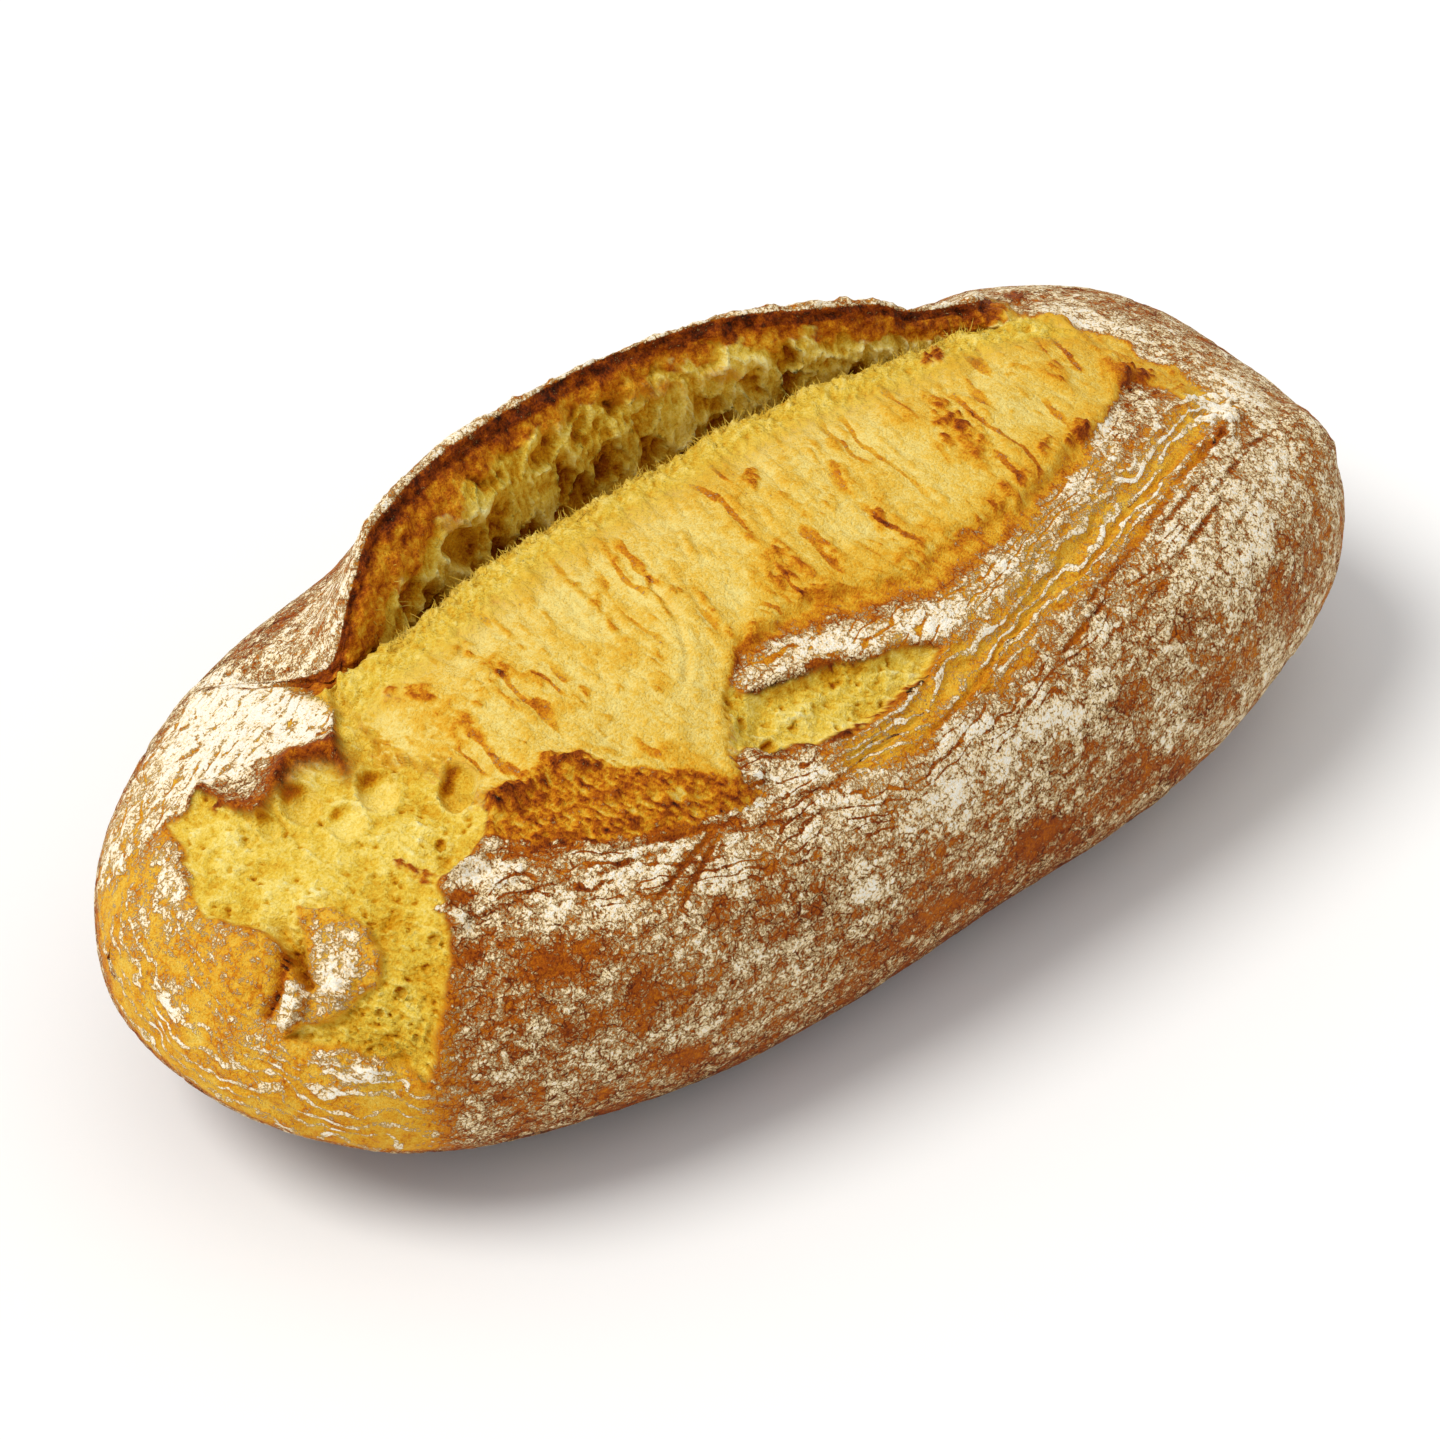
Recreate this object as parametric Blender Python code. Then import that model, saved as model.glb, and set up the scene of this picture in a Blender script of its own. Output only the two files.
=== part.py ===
"""Rustic hearth loaf: an uncut, floured loaf of yellow dough that tore open in the oven.

The loaf is one closed solid. Its section is a closed spline through named control points:
a flat base, round sides, a wide crown of new crust, and a torn flap of old crust, the ear,
that stands up behind the crown. X runs along the loaf, -Y is its front and +Z is up.
"""
import math

import bpy
import numpy as np

MM = 0.001

# Plain form of the loaf, before it tore open.
LENGTH = 300 * MM
WIDTH = 143 * MM
BODY_HEIGHT = 84 * MM
WAIST = 37 * MM
UNDERCUT = 6 * MM
PLAN_POWER = (2.5, 3.1)
HEIGHT_POWER = (2.35, 2.5)
FRONT_POWER = 2.46
BACK_POWER = [(-150, 2.5), (-60, 2.5), (0, 2.35), (60, 2.0), (150, 1.98)]
LOWER_POWER = 2.8

# Rim of the ear: place along the loaf, depth from the loaf's middle and height, in millimetres.
EAR_RIM = [
    (-100, 20, 74), (-90, 21.5, 76.5), (-85, 22.5, 81), (-80, 24.5, 89), (-66, 32, 97),
    (-40, 36.5, 101.5), (-10, 37.5, 102), (22, 33.5, 101), (48, 27, 95.5), (63, 24, 91),
    (70, 23, 86.5), (84, 22, 82), (102, 18, 78), (114, 14, 74),
]
# Back edge of the crown, where it rolls down into the tear: place along the loaf and depth.
CROWN_BACK = [(-100, 18), (-72, 18.5), (-50, 22), (-10, 24.5), (14, 24.5), (50, 19.5), (80, 17), (112, 9)]
# Depth of the tear below the crown, and how far the ear is open, along the loaf.
TEAR_DEPTH = [(-90, 0), (-76, 8), (-50, 12), (30, 12), (70, 6), (104, 0)]
EAR_OPEN = [(-100, 0), (-86, 1), (88, 1), (114, 0)]
# How far the ear's outer crust bulges beyond a straight slope, along the loaf.
EAR_BULGE = [(-84, 0), (-50, 2.5), (-10, 4.5), (40, 2.5), (80, -1)]
# How closely that crust hugs the plain form below the rim: the left end of the ear is a thin fin.
EAR_HUG = [(-84, 1), (-68, 0.85), (-44, 0)]
SHOULDER_ANGLE = math.radians(25)
CRUST = 4 * MM

# Mesh density.
STATIONS = 96
ROWS_PER_SPAN = [1] * 17 + [2] * 13 + [1] * 4

# Drawing plane: it faces the loaf's front left from above, so that each tear and lip on the
# crust is an outline in it, in millimetres, with its middle at SKETCH_CENTRE.
SKETCH_TURN = math.radians(-42.83)
SKETCH_TILT = math.radians(40)
SKETCH_DISTANCE = 1000 * MM
SKETCH_CENTRE = np.array([-4.93, 0, 31.42]) * MM

CROWN = [
    (-77.5, 6), (-77.5, 11.5), (-58, 22.5), (-49.5, 31), (-25, 47.5), (8.5, 64), (27, 71.5), (49.5, 80.5),
    (70.5, 83.5), (86, 72.5), (78.5, 62), (60, 43.5), (49.5, 39.5), (41.5, 31), (18.5, 25), (3, 14.5),
    (1, 4), (4, -11.5), (-25, -10.5), (-47.5, -16.5), (-60, -8.5), (-70.5, -5),
]
LEFT_TEAR = [
    (-79.5, 8.5), (-78, -6.5), (-87, -7), (-97, -14.5), (-105.5, -16.5), (-109.5, -22.5), (-107.5, -37),
    (-105.5, -49.5), (-101.5, -56), (-89, -67), (-70.5, -70.5), (-60, -73.5), (-58, -62), (-55, -49.5),
    (-58, -33), (-47.5, -22.5), (-47.5, -16.5), (-60, -8.5), (-70.5, -5),
]
POCKET = [(2.5, 4), (22.5, 12.5), (45.5, 16.5), (41.5, 8.5), (27, -2), (10.5, -5), (3.5, -3)]
KNOB = [(-100, -43.5), (-93, -42.5), (-89, -49.5), (-90, -58), (-95, -60), (-100, -56), (-102.5, -49.5)]
ISLAND = [(-87, -37), (-78.5, -38), (-70.5, -47.5), (-69, -58), (-76.5, -64), (-84.5, -62), (-89, -52)]
CURLED_LIP = [(-105.5, -16.5), (-97, -11.5), (-92, -7.5), (-84.5, -6), (-77.5, -7.5)]
SHOULDER_LIP = [(-78.5, 8.5), (-78, -4)]
FLAP_LIP = [(-46, -16.5), (-48, -23), (-58, -33), (-55, -49.5), (-58, -62), (-60, -73.5)]
JAGGED_LIP = [(-48, -18), (-34, -10.5), (-24, -12), (-9, -13), (3, -12)]
STRETCH_BAND = [(29, -4), (45.5, 16.5), (58, 27), (78.5, 33), (89, 47.5), (103.5, 66)]
END_NUB = [(120, 62), (125, 57)]
BACK_TEAR = [(75.5, 81), (91, 76), (103.5, 68)]

# Relief of those tears and lips: height, and width of the slope or ridge.
CROWN_RISE = (1.6 * MM, 5 * MM)
LEFT_TEAR_SINK = (-2.6 * MM, 6 * MM)
POCKET_SINK = (-5.5 * MM, 7 * MM)
ISLAND_RISE = (2.6 * MM, 5 * MM)
CURL_RIDGE = (2.4 * MM, 5 * MM)
SHOULDER_RIDGE = (1.6 * MM, 5 * MM)
FLAP_RIDGE = (1.4 * MM, 6 * MM)
JAGGED_RIDGE = (1.8 * MM, 5 * MM)
STRETCH_GROOVE = (-1.4 * MM, 6 * MM)
NUB_RIDGE = (3 * MM, 7 * MM)
BACK_TEAR_GROOVE = (-1.6 * MM, 4 * MM)

# Slow unevenness of hand-shaped dough.
LUMP_HEIGHT = 0.15 * MM
LUMP_WAVES = 18
LUMP_SEED = 1
LUMP_LENGTHS = (38 * MM, 95 * MM)
BASE_FADE = 14 * MM

CRUST_COLOR = (0.62, 0.36, 0.12, 1)
CRUST_ROUGHNESS = 0.75


def profile(at, knots):
    """Smooth curve through (place, value) knots, level before the first and after the last."""
    place, value = np.array(knots, dtype=float).T
    rate = np.diff(value) / np.diff(place)
    turns = rate[:-1] * rate[1:] <= 0
    slope = np.zeros(len(place))
    before = np.where(turns, 1, rate[:-1])
    after = np.where(turns, 1, rate[1:])
    slope[1:-1] = np.where(turns, 0, 2 * before * after / (before + after))
    at = np.clip(at, place[0], place[-1])
    i = np.clip(np.searchsorted(place, at) - 1, 0, len(place) - 2)
    step = place[i + 1] - place[i]
    s = (at - place[i]) / step
    start = (1 + 2 * s) * (1 - s) ** 2 * value[i] + s * (1 - s) ** 2 * step * slope[i]
    end = s * s * (3 - 2 * s) * value[i + 1] + s * s * (s - 1) * step * slope[i + 1]
    return start + end


def smooth_step(value, low, high):
    """0 below low, 1 above high, and a soft slope between them."""
    s = np.clip((value - low) / (high - low), 0, 1)
    return s * s * (3 - 2 * s)


def round_off(share, power):
    """Superellipse: 1 in the middle, 0 where share is 1."""
    return np.clip(1 - np.abs(share) ** power, 0, 1) ** (1 / power)


def tapers(x):
    """Width and height of the plain form at x, as shares of the full ones."""
    share = x / (LENGTH / 2)
    left = x < 0
    return (np.where(left, round_off(share, PLAN_POWER[0]), round_off(share, PLAN_POWER[1])),
            np.where(left, round_off(share, HEIGHT_POWER[0]), round_off(share, HEIGHT_POWER[1])))


def plain_form(x, angle):
    """(y, z) of the plain loaf at x, at an angle round its section: 0 is +Y and 90 degrees the top."""
    wide, tall = tapers(x)
    c = np.cos(angle)
    s = np.sin(angle)
    power = np.where(s > 0, np.where(c > 0, profile(x / MM, BACK_POWER), FRONT_POWER), LOWER_POWER)
    reach = (np.abs(c) ** power + np.abs(s) ** power) ** (-1 / power)
    rise = np.where(s > 0, BODY_HEIGHT - WAIST, WAIST + UNDERCUT) * tall
    return np.stack([WIDTH / 2 * wide * c * reach, np.maximum(WAIST + rise * s * reach, 0)], axis=-1)


def base_edge(x):
    """Angle below the waist at which the plain form meets the table, or nearly straight down."""
    tall = tapers(x)[1]
    drop = np.clip(WAIST / np.maximum((WAIST + UNDERCUT) * tall, 1e-9), 0, 0.995)
    return np.arctan2(drop, round_off(drop, LOWER_POWER))


def top_angle(x, y):
    """Angle of the plain form's upper back at depth y."""
    share = np.clip(y / np.maximum(WIDTH / 2 * tapers(x)[0], 1e-9), 0, 0.98)
    return np.arctan2(round_off(share, profile(x / MM, BACK_POWER)), share)


def hug(points, x, share):
    """Points of the ear's outer crust lowered towards the plain form's upper back."""
    angle = top_angle(x, points[:, 0])
    lowered = plain_form(x, angle)[:, 1]
    height = points[:, 1] + (lowered - points[:, 1]) * share
    return np.stack([points[:, 0], height], axis=-1)


def section(x):
    """Control points of the section at each station, from the base over the back and the top."""
    edge = base_edge(x)
    crown_angle = top_angle(x, profile(x / MM, CROWN_BACK) * MM)
    crown_back = plain_form(x, crown_angle)
    shoulder = plain_form(x, SHOULDER_ANGLE * np.ones_like(x))
    bulge = profile(x / MM, EAR_BULGE)[:, None] * MM
    rim_depth = profile(x / MM, [(place, depth) for place, depth, _ in EAR_RIM])
    rim_height = profile(x / MM, [(place, height) for place, _, height in EAR_RIM])
    rim = np.stack([rim_depth, rim_height], axis=-1) * MM
    gap = profile(x / MM, TEAR_DEPTH)[:, None] * MM
    is_open = profile(x / MM, EAR_OPEN)[:, None]
    across = np.array([1, 0])
    down = np.array([0, -1])

    def between(a, b, s, out=0.0):
        middle = a + (b - a) * s
        return middle + np.array([1, 1]) * out * math.sin(math.pi * s) / math.sqrt(2)

    outer_rim = rim + across * CRUST + down * 0.3 * CRUST
    hugging = profile(x / MM, EAR_HUG)
    ear = [
        hug(between(outer_rim, shoulder, 0.66, bulge), x, hugging),
        hug(between(outer_rim, shoulder, 0.33, bulge), x, hugging),
        outer_rim,
        rim + across * 0.25 * CRUST - down * 0.3 * CRUST,
        rim - across * 0.2 * CRUST + down * 0.25 * CRUST,
        between(crown_back, rim, 0.72) + across * 0.02 * gap,
        between(crown_back, rim, 0.4) + across * 0.12 * gap,
        crown_back + across * 0.42 * gap + down * 0.62 * gap,
        crown_back + across * 0.3 * gap + down * gap,
        crown_back + across * 0.1 * gap + down * 0.45 * gap,
    ]
    spread = np.linspace(0, 1, len(ear) + 2)[1:-1]
    shut = [plain_form(x, SHOULDER_ANGLE + (crown_angle - SHOULDER_ANGLE) * s) for s in spread]
    ear = [a + (b - a) * is_open for a, b in zip(shut, ear)]

    back = [plain_form(x, -edge * s) for s in (1.0, 0.66, 0.33)]
    back += [plain_form(x, SHOULDER_ANGLE * s * np.ones_like(x)) for s in (0, 0.5)]
    front_spread = np.linspace(0, 1, 12)[1:]
    crown = [plain_form(x, crown_angle + (math.pi - crown_angle) * s) for s in front_spread]
    front = [plain_form(x, math.pi + edge * s) for s in (0.33, 0.66, 1.0)]
    middle = np.stack([np.zeros_like(x), np.minimum(back[0][:, 1], front[-1][:, 1])], axis=-1)
    half_back = between(middle, back[0], 0.55)
    half_front = between(middle, front[-1], 0.55)
    ring = np.stack([middle, half_back, *back, shoulder, *ear, crown_back, *crown, *front, half_front])
    sharpen = (2 * ring - np.roll(ring, 1, axis=0) - np.roll(ring, -1, axis=0)) / 6
    return ring + sharpen


def spline_ring(control, rows):
    """Closed uniform cubic spline over the first axis of the control points, read at each row."""
    count = len(control)
    k = np.floor(rows).astype(int)
    s = (rows - k)[:, None, None]
    weights = [(1 - s) ** 3 / 6, (3 * s ** 3 - 6 * s ** 2 + 4) / 6,
               (-3 * s ** 3 + 3 * s ** 2 + 3 * s + 1) / 6, s ** 3 / 6]
    return sum(w * control[(k + n - 1) % count] for n, w in enumerate(weights))


def stations():
    """Places along the loaf, evenly spaced along its outline, so that they crowd at the round ends."""
    turn = np.linspace(-math.pi / 2, math.pi / 2, 4001)
    x = LENGTH / 2 * np.sin(turn)
    run = np.hypot(np.gradient(x), np.gradient(WIDTH / 2 * tapers(x)[0]))
    run = np.cumsum(run) - run[0]
    return np.interp(np.linspace(0, run[-1], STATIONS), run, x)[1:-1]


def to_sketch(points):
    """Places of the points in the drawing plane, in millimetres, and the direction to its viewer."""
    turn_cos, turn_sin = math.cos(SKETCH_TURN), math.sin(SKETCH_TURN)
    tilt_cos, tilt_sin = math.cos(SKETCH_TILT), math.sin(SKETCH_TILT)
    back = np.array([turn_sin * tilt_cos, -turn_cos * tilt_cos, tilt_sin])
    right = np.array([turn_cos, turn_sin, 0])
    up = np.cross(back, right)
    eye = SKETCH_CENTRE + back * SKETCH_DISTANCE
    away = points - eye
    scale = SKETCH_DISTANCE / MM / -(away @ back)
    toward = -away / np.linalg.norm(away, axis=1, keepdims=True)
    return np.stack([away @ right * scale, away @ up * scale], axis=1), toward


def line_distance(at, line, closed=False):
    """Distance of each sketch point from a line of straight runs, in millimetres."""
    line = np.array(line, dtype=float)
    ends = np.roll(line, -1, axis=0) if closed else line[1:]
    best = np.full(len(at), np.inf)
    for a, b in zip(line, ends):
        s = np.clip((at - a) @ (b - a) / ((b - a) @ (b - a)), 0, 1)
        best = np.minimum(best, np.linalg.norm(at - a - s[:, None] * (b - a), axis=1))
    return best


def depth_inside(at, outline):
    """Distance of each sketch point inside a closed outline, below 0 outside it."""
    outline = np.array(outline, dtype=float)
    inside = np.zeros(len(at), dtype=bool)
    for a, b in zip(outline, np.roll(outline, -1, axis=0)):
        if a[1] == b[1]:
            continue
        crosses = (a[1] > at[:, 1]) != (b[1] > at[:, 1])
        inside ^= crosses & (at[:, 0] < a[0] + (at[:, 1] - a[1]) * (b[0] - a[0]) / (b[1] - a[1]))
    distance = line_distance(at, outline, closed=True)
    return np.where(inside, distance, -distance)


def plateau(at, outline, size):
    """Relief that is raised or sunk inside an outline, with a soft slope along its edge."""
    height, slope = size
    return height * smooth_step(depth_inside(at, outline), -0.5 * slope / MM, 0.5 * slope / MM)


def ridge(at, line, size):
    """Relief along a line: a soft ridge, or a groove where its height is below 0."""
    height, half_width = size
    return height * np.exp(-(line_distance(at, line) * MM / half_width * 1.5) ** 2)


def relief(points, normals):
    """Height of the tears, lips and folds at each point, along its normal."""
    at, toward = to_sketch(points)
    height = plateau(at, CROWN, CROWN_RISE)
    height += plateau(at, LEFT_TEAR, LEFT_TEAR_SINK)
    height += plateau(at, POCKET, POCKET_SINK)
    height += plateau(at, KNOB, ISLAND_RISE)
    height += plateau(at, ISLAND, ISLAND_RISE)
    height += ridge(at, CURLED_LIP, CURL_RIDGE)
    height += ridge(at, SHOULDER_LIP, SHOULDER_RIDGE)
    height += ridge(at, FLAP_LIP, FLAP_RIDGE)
    height += ridge(at, JAGGED_LIP, JAGGED_RIDGE)
    height += ridge(at, STRETCH_BAND, STRETCH_GROOVE)
    height += ridge(at, END_NUB, NUB_RIDGE)
    height += ridge(at, BACK_TEAR, BACK_TEAR_GROOVE)
    facing = smooth_step((normals * toward).sum(axis=1), 0.05, 0.3)
    return height * facing


def lumps(points):
    """Slow unevenness of the whole loaf: a sum of long waves in seeded directions."""
    rng = np.random.default_rng(LUMP_SEED)
    height = np.zeros(len(points))
    for _ in range(LUMP_WAVES):
        direction = rng.normal(size=3)
        direction /= np.linalg.norm(direction)
        length = rng.uniform(*LUMP_LENGTHS)
        height += np.sin(points @ direction * (2 * math.pi / length) + rng.uniform(0, 2 * math.pi))
    return height * LUMP_HEIGHT


def grid_normals(grid):
    """Outward normals of a grid of points, rows round the section by stations."""
    along = np.gradient(grid, axis=1)
    around = (np.roll(grid, -1, axis=0) - np.roll(grid, 1, axis=0)) / 2
    normals = np.cross(around, along)
    return normals / np.maximum(np.linalg.norm(normals, axis=2, keepdims=True), 1e-12)


def loaf_grid():
    """Points of the loaf's skin, rows round the section by stations along it, without its two poles."""
    x = stations()
    rows = np.concatenate([k + np.arange(n) / n for k, n in enumerate(ROWS_PER_SPAN)])
    yz = spline_ring(section(x), rows)
    yz[..., 1] = np.maximum(yz[..., 1], 0)
    grid = np.concatenate([np.broadcast_to(x[None, :, None], yz.shape[:2] + (1,)), yz], axis=2)
    normals = grid_normals(grid)
    flat_points = grid.reshape(-1, 3)
    flat_normals = normals.reshape(-1, 3)
    height = relief(flat_points, flat_normals) + lumps(flat_points)
    height *= smooth_step(flat_points[:, 2], 0, BASE_FADE)
    moved = flat_points + flat_normals * height[:, None]
    moved[:, 2] = np.maximum(moved[:, 2], 0)
    return moved.reshape(grid.shape)


def skin(grid):
    """Vertices and faces of the closed skin: the grid, with a pole at each end."""
    rows, count = grid.shape[:2]
    poles = np.array([[-LENGTH / 2, 0, WAIST], [LENGTH / 2, 0, WAIST]])
    points = np.concatenate([grid.reshape(-1, 3), poles])
    low = points.min(axis=0)
    high = points.max(axis=0)
    points -= np.array([(low[0] + high[0]) / 2, (low[1] + high[1]) / 2, low[2]])
    faces = []
    left_pole = rows * count
    for j in range(rows):
        a = j * count
        b = (j + 1) % rows * count
        faces += [(a + i, b + i, b + i + 1, a + i + 1) for i in range(count - 1)]
        faces.append((left_pole, b, a))
        faces.append((left_pole + 1, a + count - 1, b + count - 1))
    return points, faces


def crust_material():
    material = bpy.data.materials.new("floured_crust")
    material.use_nodes = True
    shader = material.node_tree.nodes["Principled BSDF"]
    shader.inputs["Base Color"].default_value = CRUST_COLOR
    shader.inputs["Roughness"].default_value = CRUST_ROUGHNESS
    shader.inputs["Metallic"].default_value = 0
    return material


def make_loaf():
    points, faces = skin(loaf_grid())
    mesh = bpy.data.meshes.new("loaf")
    mesh.from_pydata(points.tolist(), [], faces)
    mesh.validate()
    mesh.shade_smooth()
    mesh.materials.append(crust_material())
    loaf = bpy.data.objects.new("loaf", mesh)
    bpy.context.scene.collection.objects.link(loaf)
    return loaf


def main():
    for old in list(bpy.data.objects):
        bpy.data.objects.remove(old, do_unlink=True)
    make_loaf()


main()
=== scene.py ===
"""Looks of the rustic hearth loaf: its fine crust, torn crumb and flour, with floor, light and camera.

The loaf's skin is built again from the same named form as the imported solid, many times finer,
and each point of it gets its relief and its look: how baked it is, how floured, and whether it
is torn crumb. All lengths are in millimetres until a mesh is made.
"""
import functools
import itertools
import math
import bpy
import numpy as np
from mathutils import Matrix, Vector


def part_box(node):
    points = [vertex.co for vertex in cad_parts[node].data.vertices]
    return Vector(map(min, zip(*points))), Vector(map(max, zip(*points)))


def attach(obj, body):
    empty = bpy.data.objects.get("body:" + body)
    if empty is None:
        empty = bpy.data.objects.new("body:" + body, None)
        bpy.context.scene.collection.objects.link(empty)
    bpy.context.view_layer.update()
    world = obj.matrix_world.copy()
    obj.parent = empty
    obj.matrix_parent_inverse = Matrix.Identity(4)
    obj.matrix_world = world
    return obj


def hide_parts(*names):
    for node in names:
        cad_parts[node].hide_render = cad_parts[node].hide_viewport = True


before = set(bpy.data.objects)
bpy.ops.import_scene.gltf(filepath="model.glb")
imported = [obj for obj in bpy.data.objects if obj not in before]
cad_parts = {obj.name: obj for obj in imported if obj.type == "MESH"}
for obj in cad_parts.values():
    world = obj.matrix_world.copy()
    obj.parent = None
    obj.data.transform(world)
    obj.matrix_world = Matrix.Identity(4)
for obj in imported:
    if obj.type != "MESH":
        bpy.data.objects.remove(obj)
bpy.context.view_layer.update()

METRES = 0.001

# Form of the loaf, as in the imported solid.
LENGTH = 300
WIDTH = 143
BODY_HEIGHT = 84
WAIST = 37
UNDERCUT = 6
PLAN_POWER = (2.5, 3.1)
HEIGHT_POWER = (2.35, 2.5)
FRONT_POWER = 2.46
BACK_POWER = [(-150, 2.5), (-60, 2.5), (0, 2.35), (60, 2.0), (150, 1.98)]
LOWER_POWER = 2.8
EAR_RIM = [
    (-100, 20, 74), (-90, 21.5, 76.5), (-85, 22.5, 81), (-80, 24.5, 89), (-66, 32, 97), (-40, 36.5, 101.5),
    (-10, 37.5, 102), (22, 33.5, 101), (48, 27, 95.5), (63, 24, 91), (70, 23, 86.5), (84, 22, 82),
    (102, 18, 78), (114, 14, 74),
]
CROWN_BACK = [(-100, 18), (-72, 18.5), (-50, 22), (-10, 24.5), (14, 24.5), (50, 19.5), (80, 17), (112, 9)]
TEAR_DEPTH = [(-90, 0), (-76, 8), (-50, 12), (30, 12), (70, 6), (104, 0)]
EAR_OPEN = [(-100, 0), (-86, 1), (88, 1), (114, 0)]
EAR_BULGE = [(-84, 0), (-50, 2.5), (-10, 4.5), (40, 2.5), (80, -1)]
EAR_HUG = [(-84, 1), (-68, 0.85), (-44, 0)]
SHOULDER_ANGLE = math.radians(25)
CRUST = 4

# Rows of the ear and of what is round it, in places round the section.
EAR_ROWS = (7.5, 16.6)
RIM_OUTSIDE_ROWS = (8.6, 11.3)
RIM_RELIEF_ROWS = (10.4, 12.3)
RIM_ROW = 11.5
RIM_ROWS = (RIM_ROW, 12.2)
WALL_ROWS = (12.0, 16.3)
BRISTLE_ROWS = (16.8, 18.6)

# Mesh density: stations along the loaf, and the height of a face in each stretch of rows.
STATIONS = 761
OUTLINE_SAMPLES = 4001
ROW_STEPS = [(0, 4.0), (2, 1.3), (7, 1.0), (10, 0.42), (17, 0.46), (26, 0.55), (31, 0.9), (33, 4.0)]
CONTROLS = 34

# Drawing plane and camera: they face the loaf's front left from above.
SKETCH_TURN = math.radians(-42.83)
SKETCH_TILT = math.radians(40)
SKETCH_DISTANCE = 1000
SKETCH_CENTRE = np.array([-4.93, 0, 31.42])
PHOTO_SIZE = 1440
PHOTO_PX_PER_MM = 4.8387

# Outlines in the drawing plane.
CROWN = [
    (-77.5, 6), (-77.5, 11.5), (-58, 22.5), (-49.5, 31), (-25, 47.5), (8.5, 64), (27, 71.5), (49.5, 80.5),
    (70.5, 83.5), (86, 72.5), (78.5, 62), (60, 43.5), (49.5, 39.5), (41.5, 31), (18.5, 25), (3, 14.5),
    (1, 4), (4, -11.5), (-25, -10.5), (-47.5, -16.5), (-60, -8.5), (-70.5, -5),
]
LEFT_TEAR = [
    (-79.5, 8.5), (-79, -5), (-77, -8.5), (-80, -6.5), (-86, -7.5), (-90.5, -12), (-94.5, -19), (-100, -19),
    (-105.5, -15.5), (-111, -18), (-113.5, -21), (-110.5, -27.5), (-109.5, -33.5), (-107, -40),
    (-101.5, -41.5), (-94.5, -42.5), (-90.5, -46), (-87.5, -52.5), (-86, -58), (-89.5, -65), (-80.5, -67),
    (-70.5, -70.5), (-60, -73.5), (-58, -62), (-55, -49.5), (-58, -33), (-47.5, -22.5), (-47.5, -16.5),
    (-60, -8.5), (-70.5, -5),
]
POCKET = [(2.5, 4), (22.5, 12.5), (45.5, 16.5), (41.5, 8.5), (27, -2), (10.5, -5), (3.5, -3)]
ISLAND = [
    (-87.5, -37), (-79.5, -38), (-74, -40), (-69.5, -46.5), (-71, -54), (-76, -58), (-79.5, -61),
    (-89.5, -64.5), (-86, -56), (-86, -47.5),
]
KNOB = [
    (-103, -43.5), (-94.5, -41.5), (-90, -47.5), (-90.5, -55), (-93.5, -60.5), (-99, -60), (-104.5, -51.5),
]
PETAL = [(-90.5, -52.5), (-86, -54), (-86, -59), (-89, -64), (-91.5, -62), (-90, -57)]
KNOB_CREASE = [(-90, -48), (-90.5, -55), (-93.5, -60.5)]
ISLAND_GAP = [(-91.5, -41.5), (-89.5, -45), (-87, -50.5), (-85.5, -54)]
BACK_STRIP = [
    (60, 85), (70, 83.5), (80, 81), (91, 76.5), (102, 70), (108, 65.5), (102, 66), (92, 69.5), (84, 72),
    (74, 76), (64, 80),
]
CROWN_CREASE = [(-14.5, 27.5), (-11.5, 24), (-8, 18), (-6.5, 12), (-7, 8)]
CROWN_MARGIN = [
    (3, 16), (8, 19), (18.5, 23.5), (29, 26), (41.5, 29.5), (51.5, 35.5), (60, 42), (67, 51), (73.5, 57),
]
STRETCH_LINE = [
    (-58, -33), (-41, -27), (-21, -25), (0, -21), (16.5, -14.5), (37, -6), (50, 4), (66, 21), (83, 41),
    (99, 58),
]
CURLED_LIP = [(-91, -12.5), (-89, -9.5), (-86, -7.5), (-82.5, -6.5), (-80, -6.5), (-77, -8.5)]
LOBE_LIP = [(-105.5, -15.5), (-103, -18), (-100, -19), (-95, -19)]
SHOULDER_LIP = [(-78.5, 8.5), (-78, -4)]
FLAP_LIP = [(-46, -16.5), (-48, -23), (-58, -33), (-55, -49.5), (-58, -62), (-60, -73.5)]
JAGGED_LIP = [(-48, -18), (-34, -10.5), (-24, -12), (-9, -13), (3, -12)]
JAGGED_BAND = [
    (-49.5, -17), (-35, -8.5), (-25, -9.5), (-16.5, -10.5), (3, -11.5), (10.5, -14.5), (1, -19),
    (-6, -19.5), (-16.5, -23), (-33, -25), (-45.5, -25),
]
STRIP = [
    (3, 6), (6, 14), (16.5, 18), (29, 21.5), (43.5, 25), (55, 33), (64, 42.5), (71.5, 52.5), (75.5, 60),
    (80.5, 65), (83.5, 58), (82.5, 45.5), (74.5, 33), (60, 25), (46.5, 18), (33, 14), (24, 13.5),
    (10.5, 10.5),
]
SHOULDER = [
    (-77.5, 32), (-78.5, 16.5), (-80, 6), (-79.5, -4), (-87, -6), (-94.5, -5), (-104.5, -11.5),
    (-111.5, -17.5), (-124, -31), (-130, -37), (-130, 4), (-87, 37),
]
STRETCH_BAND = [(31, -6), (44, 6), (57, 16.5), (70, 31), (84.5, 46), (101, 66)]
END_LINE = [
    (-78, 44), (-100, 26), (-117, 5), (-126, -16), (-128.5, -38), (-126, -52), (-117, -64), (-103, -75),
    (-85, -83), (-62, -88), (-38, -88),
]
END_NUB = [(120, 62), (125, 57)]
BACK_TEAR = [(75.5, 81), (91, 76), (103.5, 68)]

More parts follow.
